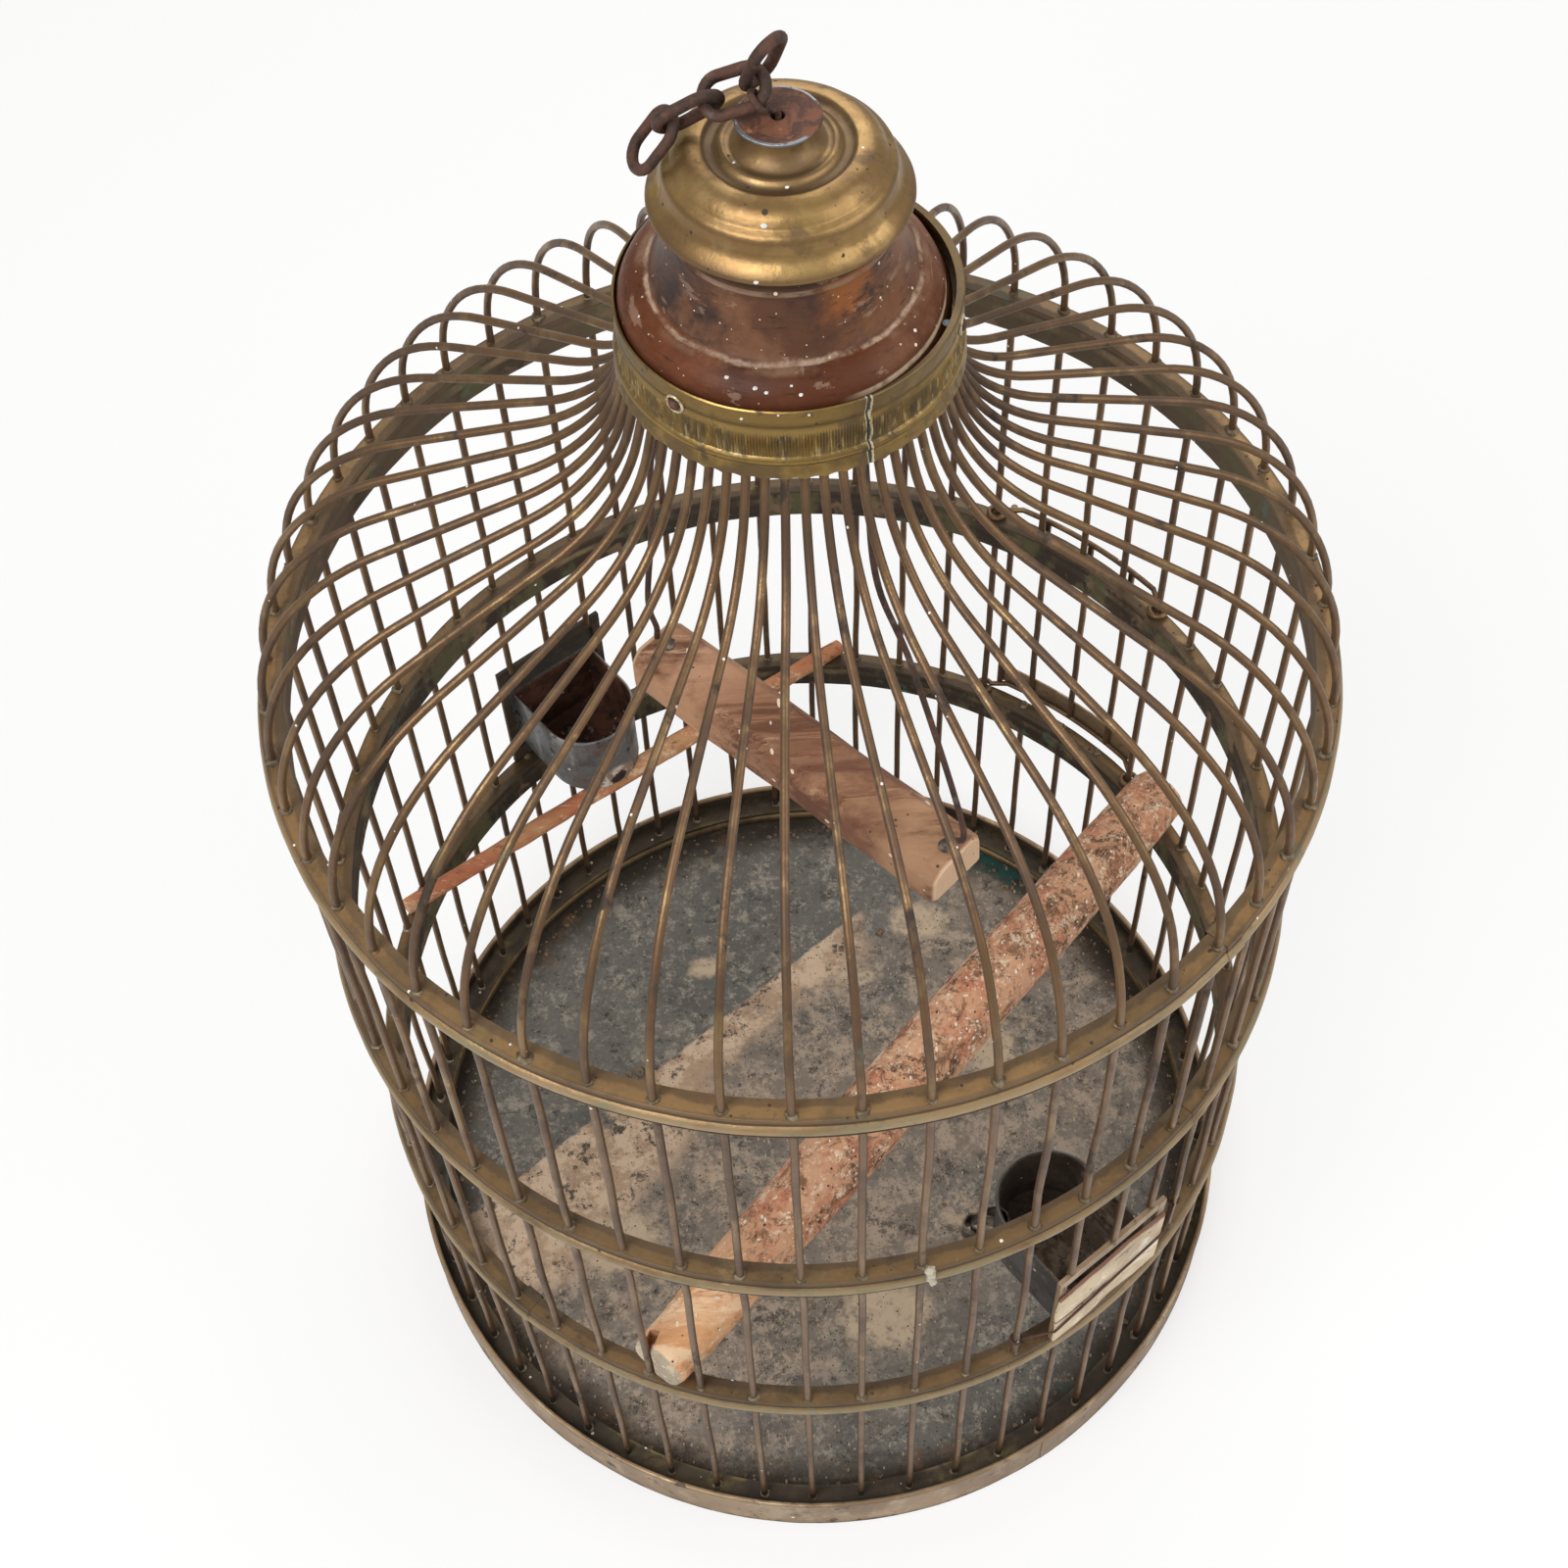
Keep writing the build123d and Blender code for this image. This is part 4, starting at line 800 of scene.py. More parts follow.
def curve_through(points, steps):
    """Catmull-Rom points through places in 2-D or 3-D."""
    places = [Vector(p) for p in points]
    places = [places[0] * 2 - places[1]] + places + [places[-1] * 2 - places[-2]]
    out = []
    for p0, p1, p2, p3 in zip(places, places[1:], places[2:], places[3:]):
        for s in range(steps):
            t = s / steps
            out.append(0.5 * (p1 * 2 + (p2 - p0) * t + (p0 * 2 - p1 * 5 + p2 * 4 - p3) * t * t
                              + (p1 * 3 - p0 - p2 * 3 + p3) * t ** 3))
    return out + [places[-2]]


def mesh_of(name, shape):
    mesh = bpy.data.meshes.new(name)
    mesh.from_pydata([v * MM for v in shape.verts], [], shape.faces)
    return mesh


def piece(name, shape, look, body="cage", replaces=(), angle=42):
    """Makes the object, smooth but for edges sharper than an angle."""
    mesh = mesh_of(name, shape)
    mesh.validate()
    obj = add_object(name, mesh)
    work = bmesh.new()
    work.from_mesh(mesh)
    bmesh.ops.recalc_face_normals(work, faces=work.faces)
    for face in work.faces:
        face.smooth = True
    for edge in work.edges:
        if len(edge.link_faces) == 2 and edge.calc_face_angle(0) > radians(angle):
            edge.smooth = False
    work.to_mesh(mesh)
    work.free()
    mesh.materials.append(look)
    if replaces:
        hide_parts(*replaces)
    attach(obj, body)
    return obj


# Bars
def crown_line():
    """Radius and height above the shoulder: a bend in, a slope, a bend up and a rise."""
    shoulder_bend, turned = 80.0, 70.0
    slope, run = radians(20), 53.6
    neck_bend, neck_step = 55, 5
    rise, rise_slope = 24, radians(75)
    line = []
    for i in range(1, 17):
        t = radians(turned * i / 16)
        line.append((R - shoulder_bend * (1 - cos(t)), SHOULDER + shoulder_bend * sin(t)))
    x, z = line[-1]
    line += [(x - run * i / 5 * cos(slope), z + run * i / 5 * sin(slope)) for i in range(1, 6)]
    x, z = line[-1]
    for i in range(1, 12):
        t = slope + radians(neck_step * i)
        line.append((x - neck_bend * (sin(t) - sin(slope)), z + neck_bend * (cos(slope) - cos(t))))
    x, z = line[-1]
    line += [(x - rise * i / 3 * cos(rise_slope), z + rise * i / 3 * sin(rise_slope)) for i in (1, 2, 3)]
    return line


def bar_line(k, low, high):
    """Centre line of bar k, uneven between the hoops; without a high end it goes over the crown."""
    top = high or SHOULDER
    flat = [(R, z) for z in along_line(low, top, max(2, ceil((top - low) / 12)))]
    if not high:
        flat += crown_line()
    azimuth = k * PITCH
    line, tangent = [], at(1, azimuth + 90)
    for radius, height in flat:
        if height < SHOULDER:
            near = min(abs(height - held) for held in (LEDGE_TOP, LOWER, MIDDLE, SHOULDER))
            free, reach = min(1.0, near / 30), 1.0
        else:
            free, reach = min(1.0, (height - SHOULDER) / 30, max(0.0, (radius - 50) / 40)), 1.7
        side = reach * free * wobble((k * 13.0, height, 0), 0.017, 3)
        bow = 0.8 * free * wobble((k * 17.0, height, 0), 0.02, 8)
        line.append(at(radius + bow, azimuth, height) + tangent * side)
    return line


def bar_group(name, first, end, low=16.6, high=None):
    shape = Shape()
    for k in range(first, end):
        shape.tube(bar_line(k, low, high), 1.52, 10)
    piece(name + "_wire", shape, WIRE, replaces=(name,))


for name, first, end in (("bars_right", 0, 6), ("bars_left_of_door", 9, 18), ("bars_left", 21, 29),
                         ("bars_front_left", 29, 37), ("bars_front", 37, 45), ("bars_front_right", 48, 54)):
    bar_group(name, first, end)
for name, first in (("door_lower_bars", 6), ("front_feeder_lower_bars", 45), ("rear_feeder_lower_bars", 18)):
    bar_group(name, first, first + 3, high=LOWER)
for name, first, low in (("door_upper_bars", 6, 280.6), ("front_feeder_upper_bars", 45, 208.6),
                         ("rear_feeder_upper_bars", 18, 219.6)):
    bar_group(name, first, first + 3, low)


# Hoops and foot
def dented(seed, amount, lift=0.0):
    """Slow waves in the radius and height of a sheet that is turned on the axis."""
    def shape(azimuth, j, radius, height):
        p = at(radius, azimuth, height)
        return (radius + amount * wobble(p, 0.03, seed) + amount * 0.35 * wobble(p, 0.12, seed + 1),
                height + lift * wobble(p, 0.02, seed + 2))
    return shape


def hoop(name, seam, seed):
    """Folded sheet with a bead outside and a skirt inside, and the lap where its ends meet."""
    top = HOOP_TOPS[name]
    bead = [(R + 1.2 + 3.1 * cos(radians(a)), top - 6.4 + 3.1 * sin(radians(a))) for a in range(62, -80, -14)]
    crest = [(R - 5.4, top), (R + 2.6, top), (R + 2.7, top - 3.2)]
    inner = [(R + 3.0, top - 11.0), (R + 2.2, top - 11.0), (R + 1.6, top - 4.0), (R + 1.6, top - 0.9),
             (R - 4.5, top - 0.9), (R - 4.7, top - 16), (R - 5.4, top - 16)]
    outline = soften(crest, 0.5, closed=False) + bead + inner
    piece(name + "_sheet", Shape().lathe(outline, 288, dented(seed, 0.35, 0.25)), HOOPS[name],
          replaces=(name,), angle=50)
    outer = [(R - 5.7, top - 14), (R - 5.7, top + 0.3), (R + 2.8, top + 0.35), (R + 2.95, top - 3.1)]
    outer += [(r + 0.35, z) for r, z in bead] + [(R + 3.3, top - 11.2)]
    rows = [[at(r, azimuth, z) for r, z in outer] + [at(r - 0.6, azimuth, z - 0.3) for r, z in outer[::-1]]
            for azimuth in along_line(seam - 1.2, seam + 1.2, 6)]
    piece(name + "_lap", Shape().grid(rows, caps=True), HOOPS[name], angle=35)


hoop("lower_hoop", 228.0, 11)
hoop("middle_hoop", 317.5, 12)
hoop("shoulder_hoop", 315.1, 13)


def solder(name, top, size, seed):
    """A lump at every bar, some with a drop above."""
    shape, dice = Shape(), random.Random(seed)
    for k in range(BARS):
        centre = at(R, k * PITCH, top + 0.1)
        scale = size * dice.uniform(0.75, 1.15)
        lump = centre + at(dice.uniform(-0.3, 0.3), dice.uniform(0, 360))
        shape.blob(lump, scale, k + seed, 0.55, 10, 6, 0.3)
        if dice.random() < 0.25:
            drop = centre + at(dice.uniform(-0.6, 0.6), dice.uniform(0, 360), dice.uniform(0.6, 1.4))
            shape.blob(drop, scale * 0.6, k + seed + 60, 1.3, 8, 5, 0.3)
    piece(name, shape, SOLDER)


def solder_lump():
    """The pale run of solder on the middle hoop."""
    shape = Shape().blob(at(192.6, 280.7, 281.2), 2.0, 5, 0.9, 12, 8, 0.6)
    shape.blob(at(193.4, 280.8, 278.0), 1.9, 9, 1.5, 10, 7, 0.6)
    shape.blob(at(194.0, 281.0, 273.6), 1.5, 14, 1.6, 10, 7, 0.6)
    look = plain_look("lump_cream", (0.52, 0.47, 0.36), (0.36, 0.31, 0.22), 0.6, 0.1, 500)
    piece("solder_lump", shape, look)


solder("solder_lower", LOWER, 2.5, 100)
solder("solder_middle", MIDDLE, 2.5, 200)
solder("solder_shoulder", SHOULDER, 2.5, 300)
solder("solder_ledge", LEDGE_TOP, 2.4, 400)
solder_lump()


def foot_band():
    """Band with a rolled lip and a flat hem, and the lap where its ends meet."""
    outline = [(195.0, 24.6), (195.3, 25.6), (196.2, 26.0), (197.0, 25.7), (197.4, 24.9), (197.2, 23.6),
               (196.9, 22.4), (196.95, 14), (197.05, 6), (197.15, 3.0), (197.4, 1.9), (197.3, 0.7),
               (196.7, 0.0), (193.4, 0.0), (192.6, 0.9), (192.7, 2.6), (195.9, 3.2), (196.2, 4.4),
               (196.1, 22.4), (195.6, 23.6), (195.0, 23.9)]
    piece("base_band_sheet", Shape().lathe(outline, 288, dented(21, 0.28)), BAND,
          replaces=("base_band",), angle=60)
    heights = (0.6, 6, 12, 18, 23, 25.6)
    rows = []
    for i, azimuth in enumerate(along_line(299.0, 301.6, 8)):
        radius = 197.45 if i < 8 else 197.1
        row = [at(radius - (0.2 if z > 23 else 0), azimuth, z) for z in heights]
        rows.append(row + [at(196.6, azimuth, z) for z in heights[::-1]])
    piece("base_band_lap", Shape().grid(rows, caps=True), BAND, angle=35)


def ledge():
    outline = [(184.6, 17.4), (184.9, 18.0), (196.0, 18.0), (196.5, 17.6), (196.5, 17.2),
               (191.8, 17.2), (191.8, 4.1), (191.0, 4.1), (191.0, 17.2), (184.7, 17.2)]
    piece("base_ledge_sheet", Shape().lathe(outline, 288, dented(31, 0.25, 0.25)), LEDGE,
          replaces=("base_ledge",), angle=50)


def bead_ring():
    radius, height, size = 187.7, 10, 2.6
    arc = [(radius + size * cos(radians(a)), height + size * sin(radians(a))) for a in range(-60, -300, -20)]
    outline = [(191.0, 7.6)] + arc + [(191.0, 12.4)]
    look = plain_look("bead_brass", (0.17, 0.115, 0.052), (0.07, 0.046, 0.024), 0.45, 0.7, 40)
    piece("base_bead_ring", Shape().lathe(outline, 288, dented(32, 0.2, 0.2)), look,
          replaces=("base_bead",), angle=60)


def floor_tray():
    """A thin disc that waves a little on top, round a pinhole that its centre face closes."""
    rings, spokes, top, foot = 46, 160, 4.0, 3.2
    centre, rim = 0.6, 196.4
    azimuths = [360 * j / spokes for j in range(spokes)]
    rows = []
    for radius in along_line(centre, rim, rings):
        row = []
        for azimuth in azimuths:
            p = at(radius, azimuth)
            rise = 0.35 * wobble(p, 0.016, 41) + 0.15 * wobble(p, 0.06, 42) - 0.35
            row.append(p + Vector((0, 0, top + rise)))
        rows.append(row)
    shape = Shape().grid(rows)
    shape.faces.append(tuple(range(spokes))[::-1])
    start = len(shape.verts)
    shape.grid([[at(radius, azimuth, foot) for azimuth in azimuths] for radius in (centre, rim)])
    shape.faces.append(tuple(start + j for j in range(spokes)))
    for j in range(spokes):
        following = (j + 1) % spokes
        upper, lower = rings * spokes, start + spokes
        shape.faces.append((upper + j, upper + following, lower + following, lower + j))
    piece("floor_tray", shape, FLOOR, replaces=("floor_sheet",), angle=60)


def husks():
    shape, dice = Shape(), random.Random(77)
    for i in range(220):
        edge = dice.random() < 0.8
        r = dice.uniform(176, 184) if edge else 184 * dice.random() ** 0.6
        azimuth = dice.uniform(20, 200) if edge and dice.random() < 0.7 else dice.uniform(0, 360)
        size = dice.uniform(0.5, 1.5)
        shape.blob(at(r, azimuth, 4.0 + size * 0.2), size, i, dice.uniform(0.3, 0.6), 6, 4, 0.8)
    for i, (r, azimuth, size) in enumerate(((96, 157, 2.4), (101, 158.5, 1.9), (93, 159.5, 1.6),
                                            (60, 250, 1.8), (120, 70, 2.0))):
        shape.blob(at(r, azimuth, 4.5), size, i + 600, 0.4, 8, 5, 0.8)
    piece("floor_husks", shape, HUSK)


foot_band()
ledge()
bead_ring()
floor_tray()
husks()


# Finial
def collar():
    """Pressed band with a groove, ribs and a scalloped skirt, bulged on its right and lapped."""
    outline = [(50.9, 587.3), (51.3, 587.5), (51.7, 587.1), (51.6, 586.2), (51.5, 583.0), (51.45, 581.3),
               (51.1, 580.6), (51.45, 579.9), (51.6, 577.0), (51.6, 575), (51.6, 573), (51.65, 571),
               (51.7, 568.8), (52.5, 568.0), (52.9, 567.0), (52.6, 565.9), (52.1, 565.3), (52.4, 564.0),
               (52.8, 562.4), (53.2, 560.4), (52.4, 560.3), (51.9, 562.6), (51.2, 566.0), (50.8, 570),
               (50.8, 586.9)]
    rim, ribbed, skirt = (0, 24), range(8, 12), range(18, 21)
    bulge_azimuth, bulge, rim_bulge = 4, 2.3, 0.4
    lap_angle, scallops = 12, 27

    def shape_of(azimuth, j, radius, height):
        radius += 0.18 * wobble(at(radius, azimuth, height), 0.06, 51)
        radius += (rim_bulge if j in rim else bulge) * max(0.0, cos(radians(azimuth - bulge_azimuth))) ** 2
        past_seam = (azimuth - COLLAR_SEAM) / lap_angle
        if 0 <= past_seam < 1:
            radius += 0.5 * (1 - past_seam)
            height += 0.25 * (1 - past_seam)
        if j in ribbed:
            radius += 0.22 if int(azimuth * 2) % 2 else -0.22
        if j in skirt:
            dip = 0.2 * wobble(at(radius, azimuth, height), 0.1, 3)
            height += 0.9 * abs(sin(radians(azimuth * scallops))) - dip
        return radius, height

    piece("collar_band_sheet", Shape().lathe(outline, 720, shape_of), COLLAR, replaces=("collar_band",),
          angle=40)


def collar_screws():
    """Three screws with bright rings, and the nail in the block's edge."""
    screws, rings = Shape(), Shape()
    for azimuth, height, reach in ((229.0, 580.2, 51.3), (346.0, 580.0, 53.4), (110.0, 582.0, 51.4)):
        out, side, up = at(1, azimuth), at(1, azimuth + 90), Vector((0, 0, 1))

        def disc(away, size):
            centre = out * (reach + away) + up * height
            return [centre + (side * cos(t) + up * sin(t)) * size for t in circle(16)]

        screws.grid([disc(-0.2, 1.9), disc(0.8, 1.9), disc(1.5, 1.5), disc(1.8, 0.8)], caps=True)
        rings.tube(disc(0.3, 2.9), 0.5, 8, closed=True)
    bright = plain_look("ring_bright", (0.72, 0.62, 0.42), (0.30, 0.22, 0.11), 0.35, 0.6, 500)
    grey = plain_look("nail_zinc", (0.10, 0.115, 0.13), (0.045, 0.045, 0.047), 0.55, 0.0, 600)
    piece("collar_screws", screws, RUST, angle=50)
    piece("collar_screw_rings", rings, bright)
    nail = Shape().blob(at(50.6, 338.2, 586.9), 1.35, 3, 0.5, 10, 6, 0.1)
    piece("collar_nail", nail, grey)


def collar_ring():
    outline = soften([(42.4, 562), (45.4, 562), (45.4, 573.6), (42.4, 573.6)], 0.5)
    look = plain_look("ring_dark", (0.11, 0.075, 0.04), (0.05, 0.036, 0.022), 0.6, 0.4, 60)
    piece("collar_ring_turned", Shape().lathe(outline, 144), look, replaces=("collar_ring",))


def block():
    """Turned wood: a flange in the collar, flattened on its right, a cone and a neck under the cap."""
    flange = [(0.4, 573.6), (48.0, 573.6), (49.9, 574.2), (50.3, 576), (50.3, 580), (50.3, 583),
              (50.25, 585.6), (49.8, 588.0), (48.8, 590.2), (47.3, 592.1), (45.4, 593.6), (43.4, 594.7),
              (42.0, 595.2), (41.2, 595.3)]
    cone = [(40.7, 595.6), (40.2, 596.2), (39.4, 597.4), (38.2, 599.6), (36.9, 602.6), (35.6, 606.2),
            (34.6, 609.8), (33.9, 612.8), (33.7, 614.6), (33.9, 615.3), (33.5, 616.2), (33.0, 618.4),
            (32.8, 621.2), (32.3, 622.2), (32.3, 632.8), (27.6, 637.9), (0.4, 638)]
    in_sight, flattened = range(1, len(flange) + 8), range(6, len(flange) - 3)
    flat_azimuth, flat_depth = 8, 1.9

    def shape_of(azimuth, j, radius, height):
        p = at(radius, azimuth, height)
        if j in in_sight:
            radius += 0.20 * wobble(p, 0.06, 61) + 0.10 * wobble(p, 0.25, 62)
        if j in flattened:
            radius -= flat_depth * max(0.0, cos(radians(azimuth - flat_azimuth))) ** 2
        return radius, height

    piece("wood_block_turned", Shape().lathe(flange + cone, 192, shape_of, closed=False), BLOCK,
          replaces=("wood_block",), angle=38)


def cap():
    """Spun cap with soft dents, and the washer on it."""
    outer = [(38.2, 623.5), (38.7, 624.3), (38.3, 625.6), (36.9, 627.2), (35.2, 628.9), (34.2, 630.8),
             (33.9, 632.6), (33.7, 634.2), (32.9, 635.7), (31.7, 636.6), (30.9, 637.2), (30.2, 638.2),
             (29.0, 639.6), (27.0, 640.9), (24.6, 641.6), (22.4, 641.75), (21.5, 641.2), (20.6, 640.75),
             (18.9, 640.6), (17.8, 641.2), (17.0, 642.0), (16.0, 642.25), (14.9, 641.95), (13.8, 642.0),
             (12.4, 642.9), (11.2, 644.2), (10.3, 646.0), (9.7, 648.2), (9.55, 649.6)]
    inner = [(2.0, 649.6), (2.0, 648.7), (8.7, 648.7), (11.8, 641.8), (19.3, 639.5), (28.4, 638.3),
             (32.8, 632.4), (37.6, 623.6)]
    outline = [tuple(p) for p in curve_through(outer, 4)] + inner
    dent_height = 1.8
    dents = ((305.5, 627.8, 4.6, 0.6), (316.5, 627.2, 3.4, 0.4), (187.0, 628.6, 4.0, 0.8))

    def shape_of(azimuth, j, radius, height):
        p = at(radius, azimuth, height)
        push = 0.16 * wobble(p, 0.05, 71) + 0.05 * wobble(p, 0.2, 72)
        for middle, level, wide, deep in dents:
            push -= deep * exp(-((azimuth - middle) / wide) ** 2 - ((height - level) / dent_height) ** 2)
        return radius + push * min(1, radius / 20), height + push * 0.5

    def washer_shape(azimuth, j, radius, height):
        p = at(radius, azimuth, height)
        if radius > 8:
            radius += 0.25 * wobble(p, 0.2, 73)
        return radius, height + 0.08 * wobble(p, 0.3, 74)

    piece("brass_cap_spun", Shape().lathe(outline, 288, shape_of), CAP,
          replaces=("brass_cap",), angle=40)
    washer = soften([(2.0, 649.65), (12.4, 649.65), (12.4, 650.8), (2.0, 650.8)], 0.35)
    piece("cap_washer_disc", Shape().lathe(washer, 96, washer_shape), WASHER,
          replaces=("cap_washer",), angle=50)


def paint_drops():
    """Splashes of white paint where the photograph shows them."""
    drops = ((246.5, 45.8, 593.3, 0.75), (257.4, 47.1, 592.3, 0.8), (261.4, 47.7, 591.6, 0.65),
             (270.1, 46.3, 592.9, 0.5), (273.2, 48.2, 591.0, 0.7), (200.4, 45.8, 593.3, 0.45),
             (259.5, 30.2, 638.2, 1.0), (274.2, 19.0, 641.8, 0.6), (257.3, 38.5, 625.1, 0.8),
             (278.4, 25.2, 641.0, 0.4), (213.8, 15.4, 642.4, 0.45), (253.5, 51.7, 583.9, 0.55),
             (275.2, 51.8, 586.1, 0.45), (265.4, 51.6, 586.5, 0.4))
    shape = Shape()
    for i, (azimuth, radius, height, size) in enumerate(drops):
        shape.blob(at(radius, azimuth, height), size, i + 40, 0.55, 8, 5, 0.3)
    white = plain_look("paint_white", (0.80, 0.79, 0.76), (0.62, 0.60, 0.55), 0.5, 0.0, 500)
    piece("paint_drops", shape, white)


collar()
collar_screws()
collar_ring()
block()
cap()
paint_drops()


# Chain
LINK = 22.6
TOP = Vector((0, 0, 650.8))
LINKS = {
    "a": ((-0.1481, 0.2348, 0.6235), (0.2795, -0.2797, 0.9185), (-0.6570, 0.6418, 0.3954)),
    "b": ((-0.5200, 0.1409, 0.2751), (-0.9203, 0.1106, -0.3753), (0.3698, 0.5595, -0.7418)),
    "c": ((-1.0936, 0.1563, -0.0063), (-0.8754, -0.0234, -0.4829), (0.2872, -0.8287, -0.4804)),
    "d": ((-1.5543, 0.1623, -0.4264), (-0.6193, -0.1240, -0.7753), (-0.7350, -0.2558, 0.6280)),
}


def frame_of(centre, along, normal):
    """Maps flat (x, y) places into a plane."""
    z = Vector(normal).normalized()
    x = Vector(along)
    x = (x - z * x.dot(z)).normalized()
    y = z.cross(x)
    return lambda px, py: centre + x * px + y * py


def chain_link(letter, place, along, normal):
    """A round bar bent to a loop with straight sides."""
    flat = frame_of(TOP + Vector(place) * LINK, along, normal)
    half, reach = 4.0, 5.5
    arc = [pi * i / 14 for i in range(15)]
    straight = [half - 2 * half * i / 4 for i in (1, 2, 3)]
    line = [(half + reach * sin(t), -reach * cos(t)) for t in arc] + [(x, reach) for x in straight]
    line += [(-half - reach * sin(t), reach * cos(t)) for t in arc] + [(-x, -reach) for x in straight]
    bar_radius = 1.70 if letter == "d" else 1.78
    shape = Shape().tube([flat(x, y) for x, y in line], bar_radius, 12, closed=True,
                         swell=lambda p, j, i: 1 + 0.045 * wobble(p, 0.35, ord(letter)))
    piece(f"chain_link_{letter}_round", shape, RUST, body=f"link_{letter}",
          replaces=(f"chain_link_{letter}",))


def eye():
    centre = TOP + Vector((-0.2339, -0.0545, 0.2703)) * LINK
    normal = Vector((0.8063, 0.1199, 0.5792)).normalized()
    flat = frame_of(centre, normal.cross(Vector((0, -1, 0))), normal)
    ring = [flat(3.3 * cos(t), 3.3 * sin(t)) for t in circle(32)]
    low = min(ring, key=lambda p: p.z)
    bend = (low.x * 0.55, low.y * 0.55, (651.9 + low.z) / 2 + 0.2)
    shape = Shape().tube(ring, 1.0, 10, closed=True)
    shape.tube(curve_through([(0, 0, 633.6), (0, 0, 645), (0, 0, 651.4), bend, low], 6), 1.0, 10)
    piece("eye_bolt_round", shape, RUST, replaces=("eye_bolt",))


for letter, link in LINKS.items():
    chain_link(letter, *link)
eye()


# Feeding hatches
def wall_frame(k):
    """Maps (out, side, up) at a bar's azimuth into the row frame."""
    azimuth = k * PITCH
    out, side = at(1, azimuth), at(1, azimuth + 90)
    return lambda o, s, u: out * o + side * s + Vector((0, 0, u))


def box_shape(shape, place, low, high, seed=0, cells=(1, 1, 1), bend=0.0):
    """A sheet or bar in a local frame, bent a little."""
    for axis in range(3):
        a, b = (i for i in range(3) if i != axis)
        for value in (low[axis], high[axis]):
            rows = []
            for first in along_line(low[a], high[a], cells[a]):
                row = []
                for second in along_line(low[b], high[b], cells[b]):
                    p = Vector()
                    p[axis], p[a], p[b] = value, first, second
                    p.x += bend * wobble((0, p.y, p.z), 0.05, seed)
                    row.append(place(*p))
                rows.append(row)
            shape.grid(rows, closed_cols=False)
    return shape


def hatch(name, k, top, sill, look):
    place = wall_frame(k)
    shape = Shape()
    for side in (-1, 1):
        near, far = sorted((side * 25, side * 28.96))
        box_shape(shape, place, (189.04, near, 151), (190.96, far, top - 0.04), 81, (1, 2, 12), 0.3)
    box_shape(shape, place, (189, -29, top - 6), (191, 29, top), 82, (1, 14, 2), 0.35)
    if sill:
        box_shape(shape, place, (189.02, -25.1, 151), (190.98, 25.1, 151 + sill), 83, (1, 12, 3), 0.3)
    piece(name + "_sheet", shape, look, replaces=(name,), angle=30)


hatch("front_feeder_frame", 46, 210.0, 0, BAND)
hatch("rear_feeder_frame", 19, 221.0, 9.8, LEDGE)


def cup(name, k, foot, front, depth, body, seed, inner_look):
    """Flat in front and round at its back, with a rolled rim; its inside has a look of its own."""
    place = wall_frame(k)
    half_width, straight, bend = 22, depth - 22, 0.25

    def outline(inset):
        half = half_width - inset
        steps = [(straight - inset) * i / 4 for i in (1, 2, 3)]
        left = [(-inset, half)] + [(-inset - step, half) for step in steps]
        back = [(-straight - half * sin(pi * i / 20), half * cos(pi * i / 20)) for i in range(21)]
        right = [(-straight + step, -half) for step in steps] + [(-inset, -half)]
        return left + back + right + [(-inset, -half / 3), (-inset, half / 3)]

    def row(inset, up):
        points = []
        for x, y in outline(inset):
            p = place(front + x, y, foot + up)
            lift = bend * wobble(p, 0.05, seed + 3) if up > 30 else 0
            points.append(p + at(bend * wobble(p, 0.07, seed), k * PITCH, lift))
        return points

    outside = [(1.2, 0.0), (0.2, 0.5), (0.0, 1.5), (0.0, 12), (0.0, 24), (0.0, 35), (-0.3, 37), (-0.75, 38.0),
               (-0.5, 38.9)]
    inside = [(0.3, 39.0), (1.0, 38.5), (1.0, 36), (1.0, 24), (1.0, 12), (1.0, 2.2), (2.2, 1.1)]
    rows = [row(inset, up) for inset, up in outside + inside]
    obj = piece(name + "_tin", Shape().grid(rows, caps=True), ZINC, body=body, replaces=(name,),
                angle=40)
    obj.data.materials.append(inner_look)
    faces = obj.data.polygons
    first_inside, underside = len(rows[0]) * len(outside), len(faces) - 2
    for face in faces:
        if face.index >= first_inside and face.index != underside:
            face.material_index = 1


cup("front_feeder_cup", 46, 151.0, 190.98, 57, "cage", 91, DUST_AND_SHADE)
cup("rear_feeder_cup", 19, 161.1, 191.28, 50, "rear_cup", 92, GRIME)


def dregs(name, k, height, look, body, seed):
    shape, dice = Shape(), random.Random(seed)
    middle = wall_frame(k)(164, 0, height)
    for i in range(60):
        azimuth, reach = dice.uniform(0, 360), 18 * dice.random() ** 0.5
        shape.blob(middle + at(reach, azimuth), dice.uniform(0.8, 2.2), i + seed, 0.45, 6, 4, 0.8)
    piece(name, shape, look, body=body)


dregs("front_cup_dregs", 46, 152.2, DUST_AND_SHADE, "cage", 5)
dregs("rear_cup_dregs", 19, 162.6, TIN_AND_HOLE_SHADE, "rear_cup", 6)


def plate(name, k, foot, front, width, rise, look, body, seed):
    shape = Shape()
    box_shape(shape, wall_frame(k), (front, -width / 2, foot), (front + 1.0, width / 2, foot + rise), seed,
              (1, 18, 14), 0.9)
    piece(name + "_bent", shape, look, body=body, replaces=(name,), angle=30)


plate("front_feeder_plate", 46, 151.0, 191.1, 58, 46, PLATE, "cage", 95)
plate("rear_feeder_plate", 19, 161.1, 191.4, 56, 52, ZINC, "rear_cup", 96)


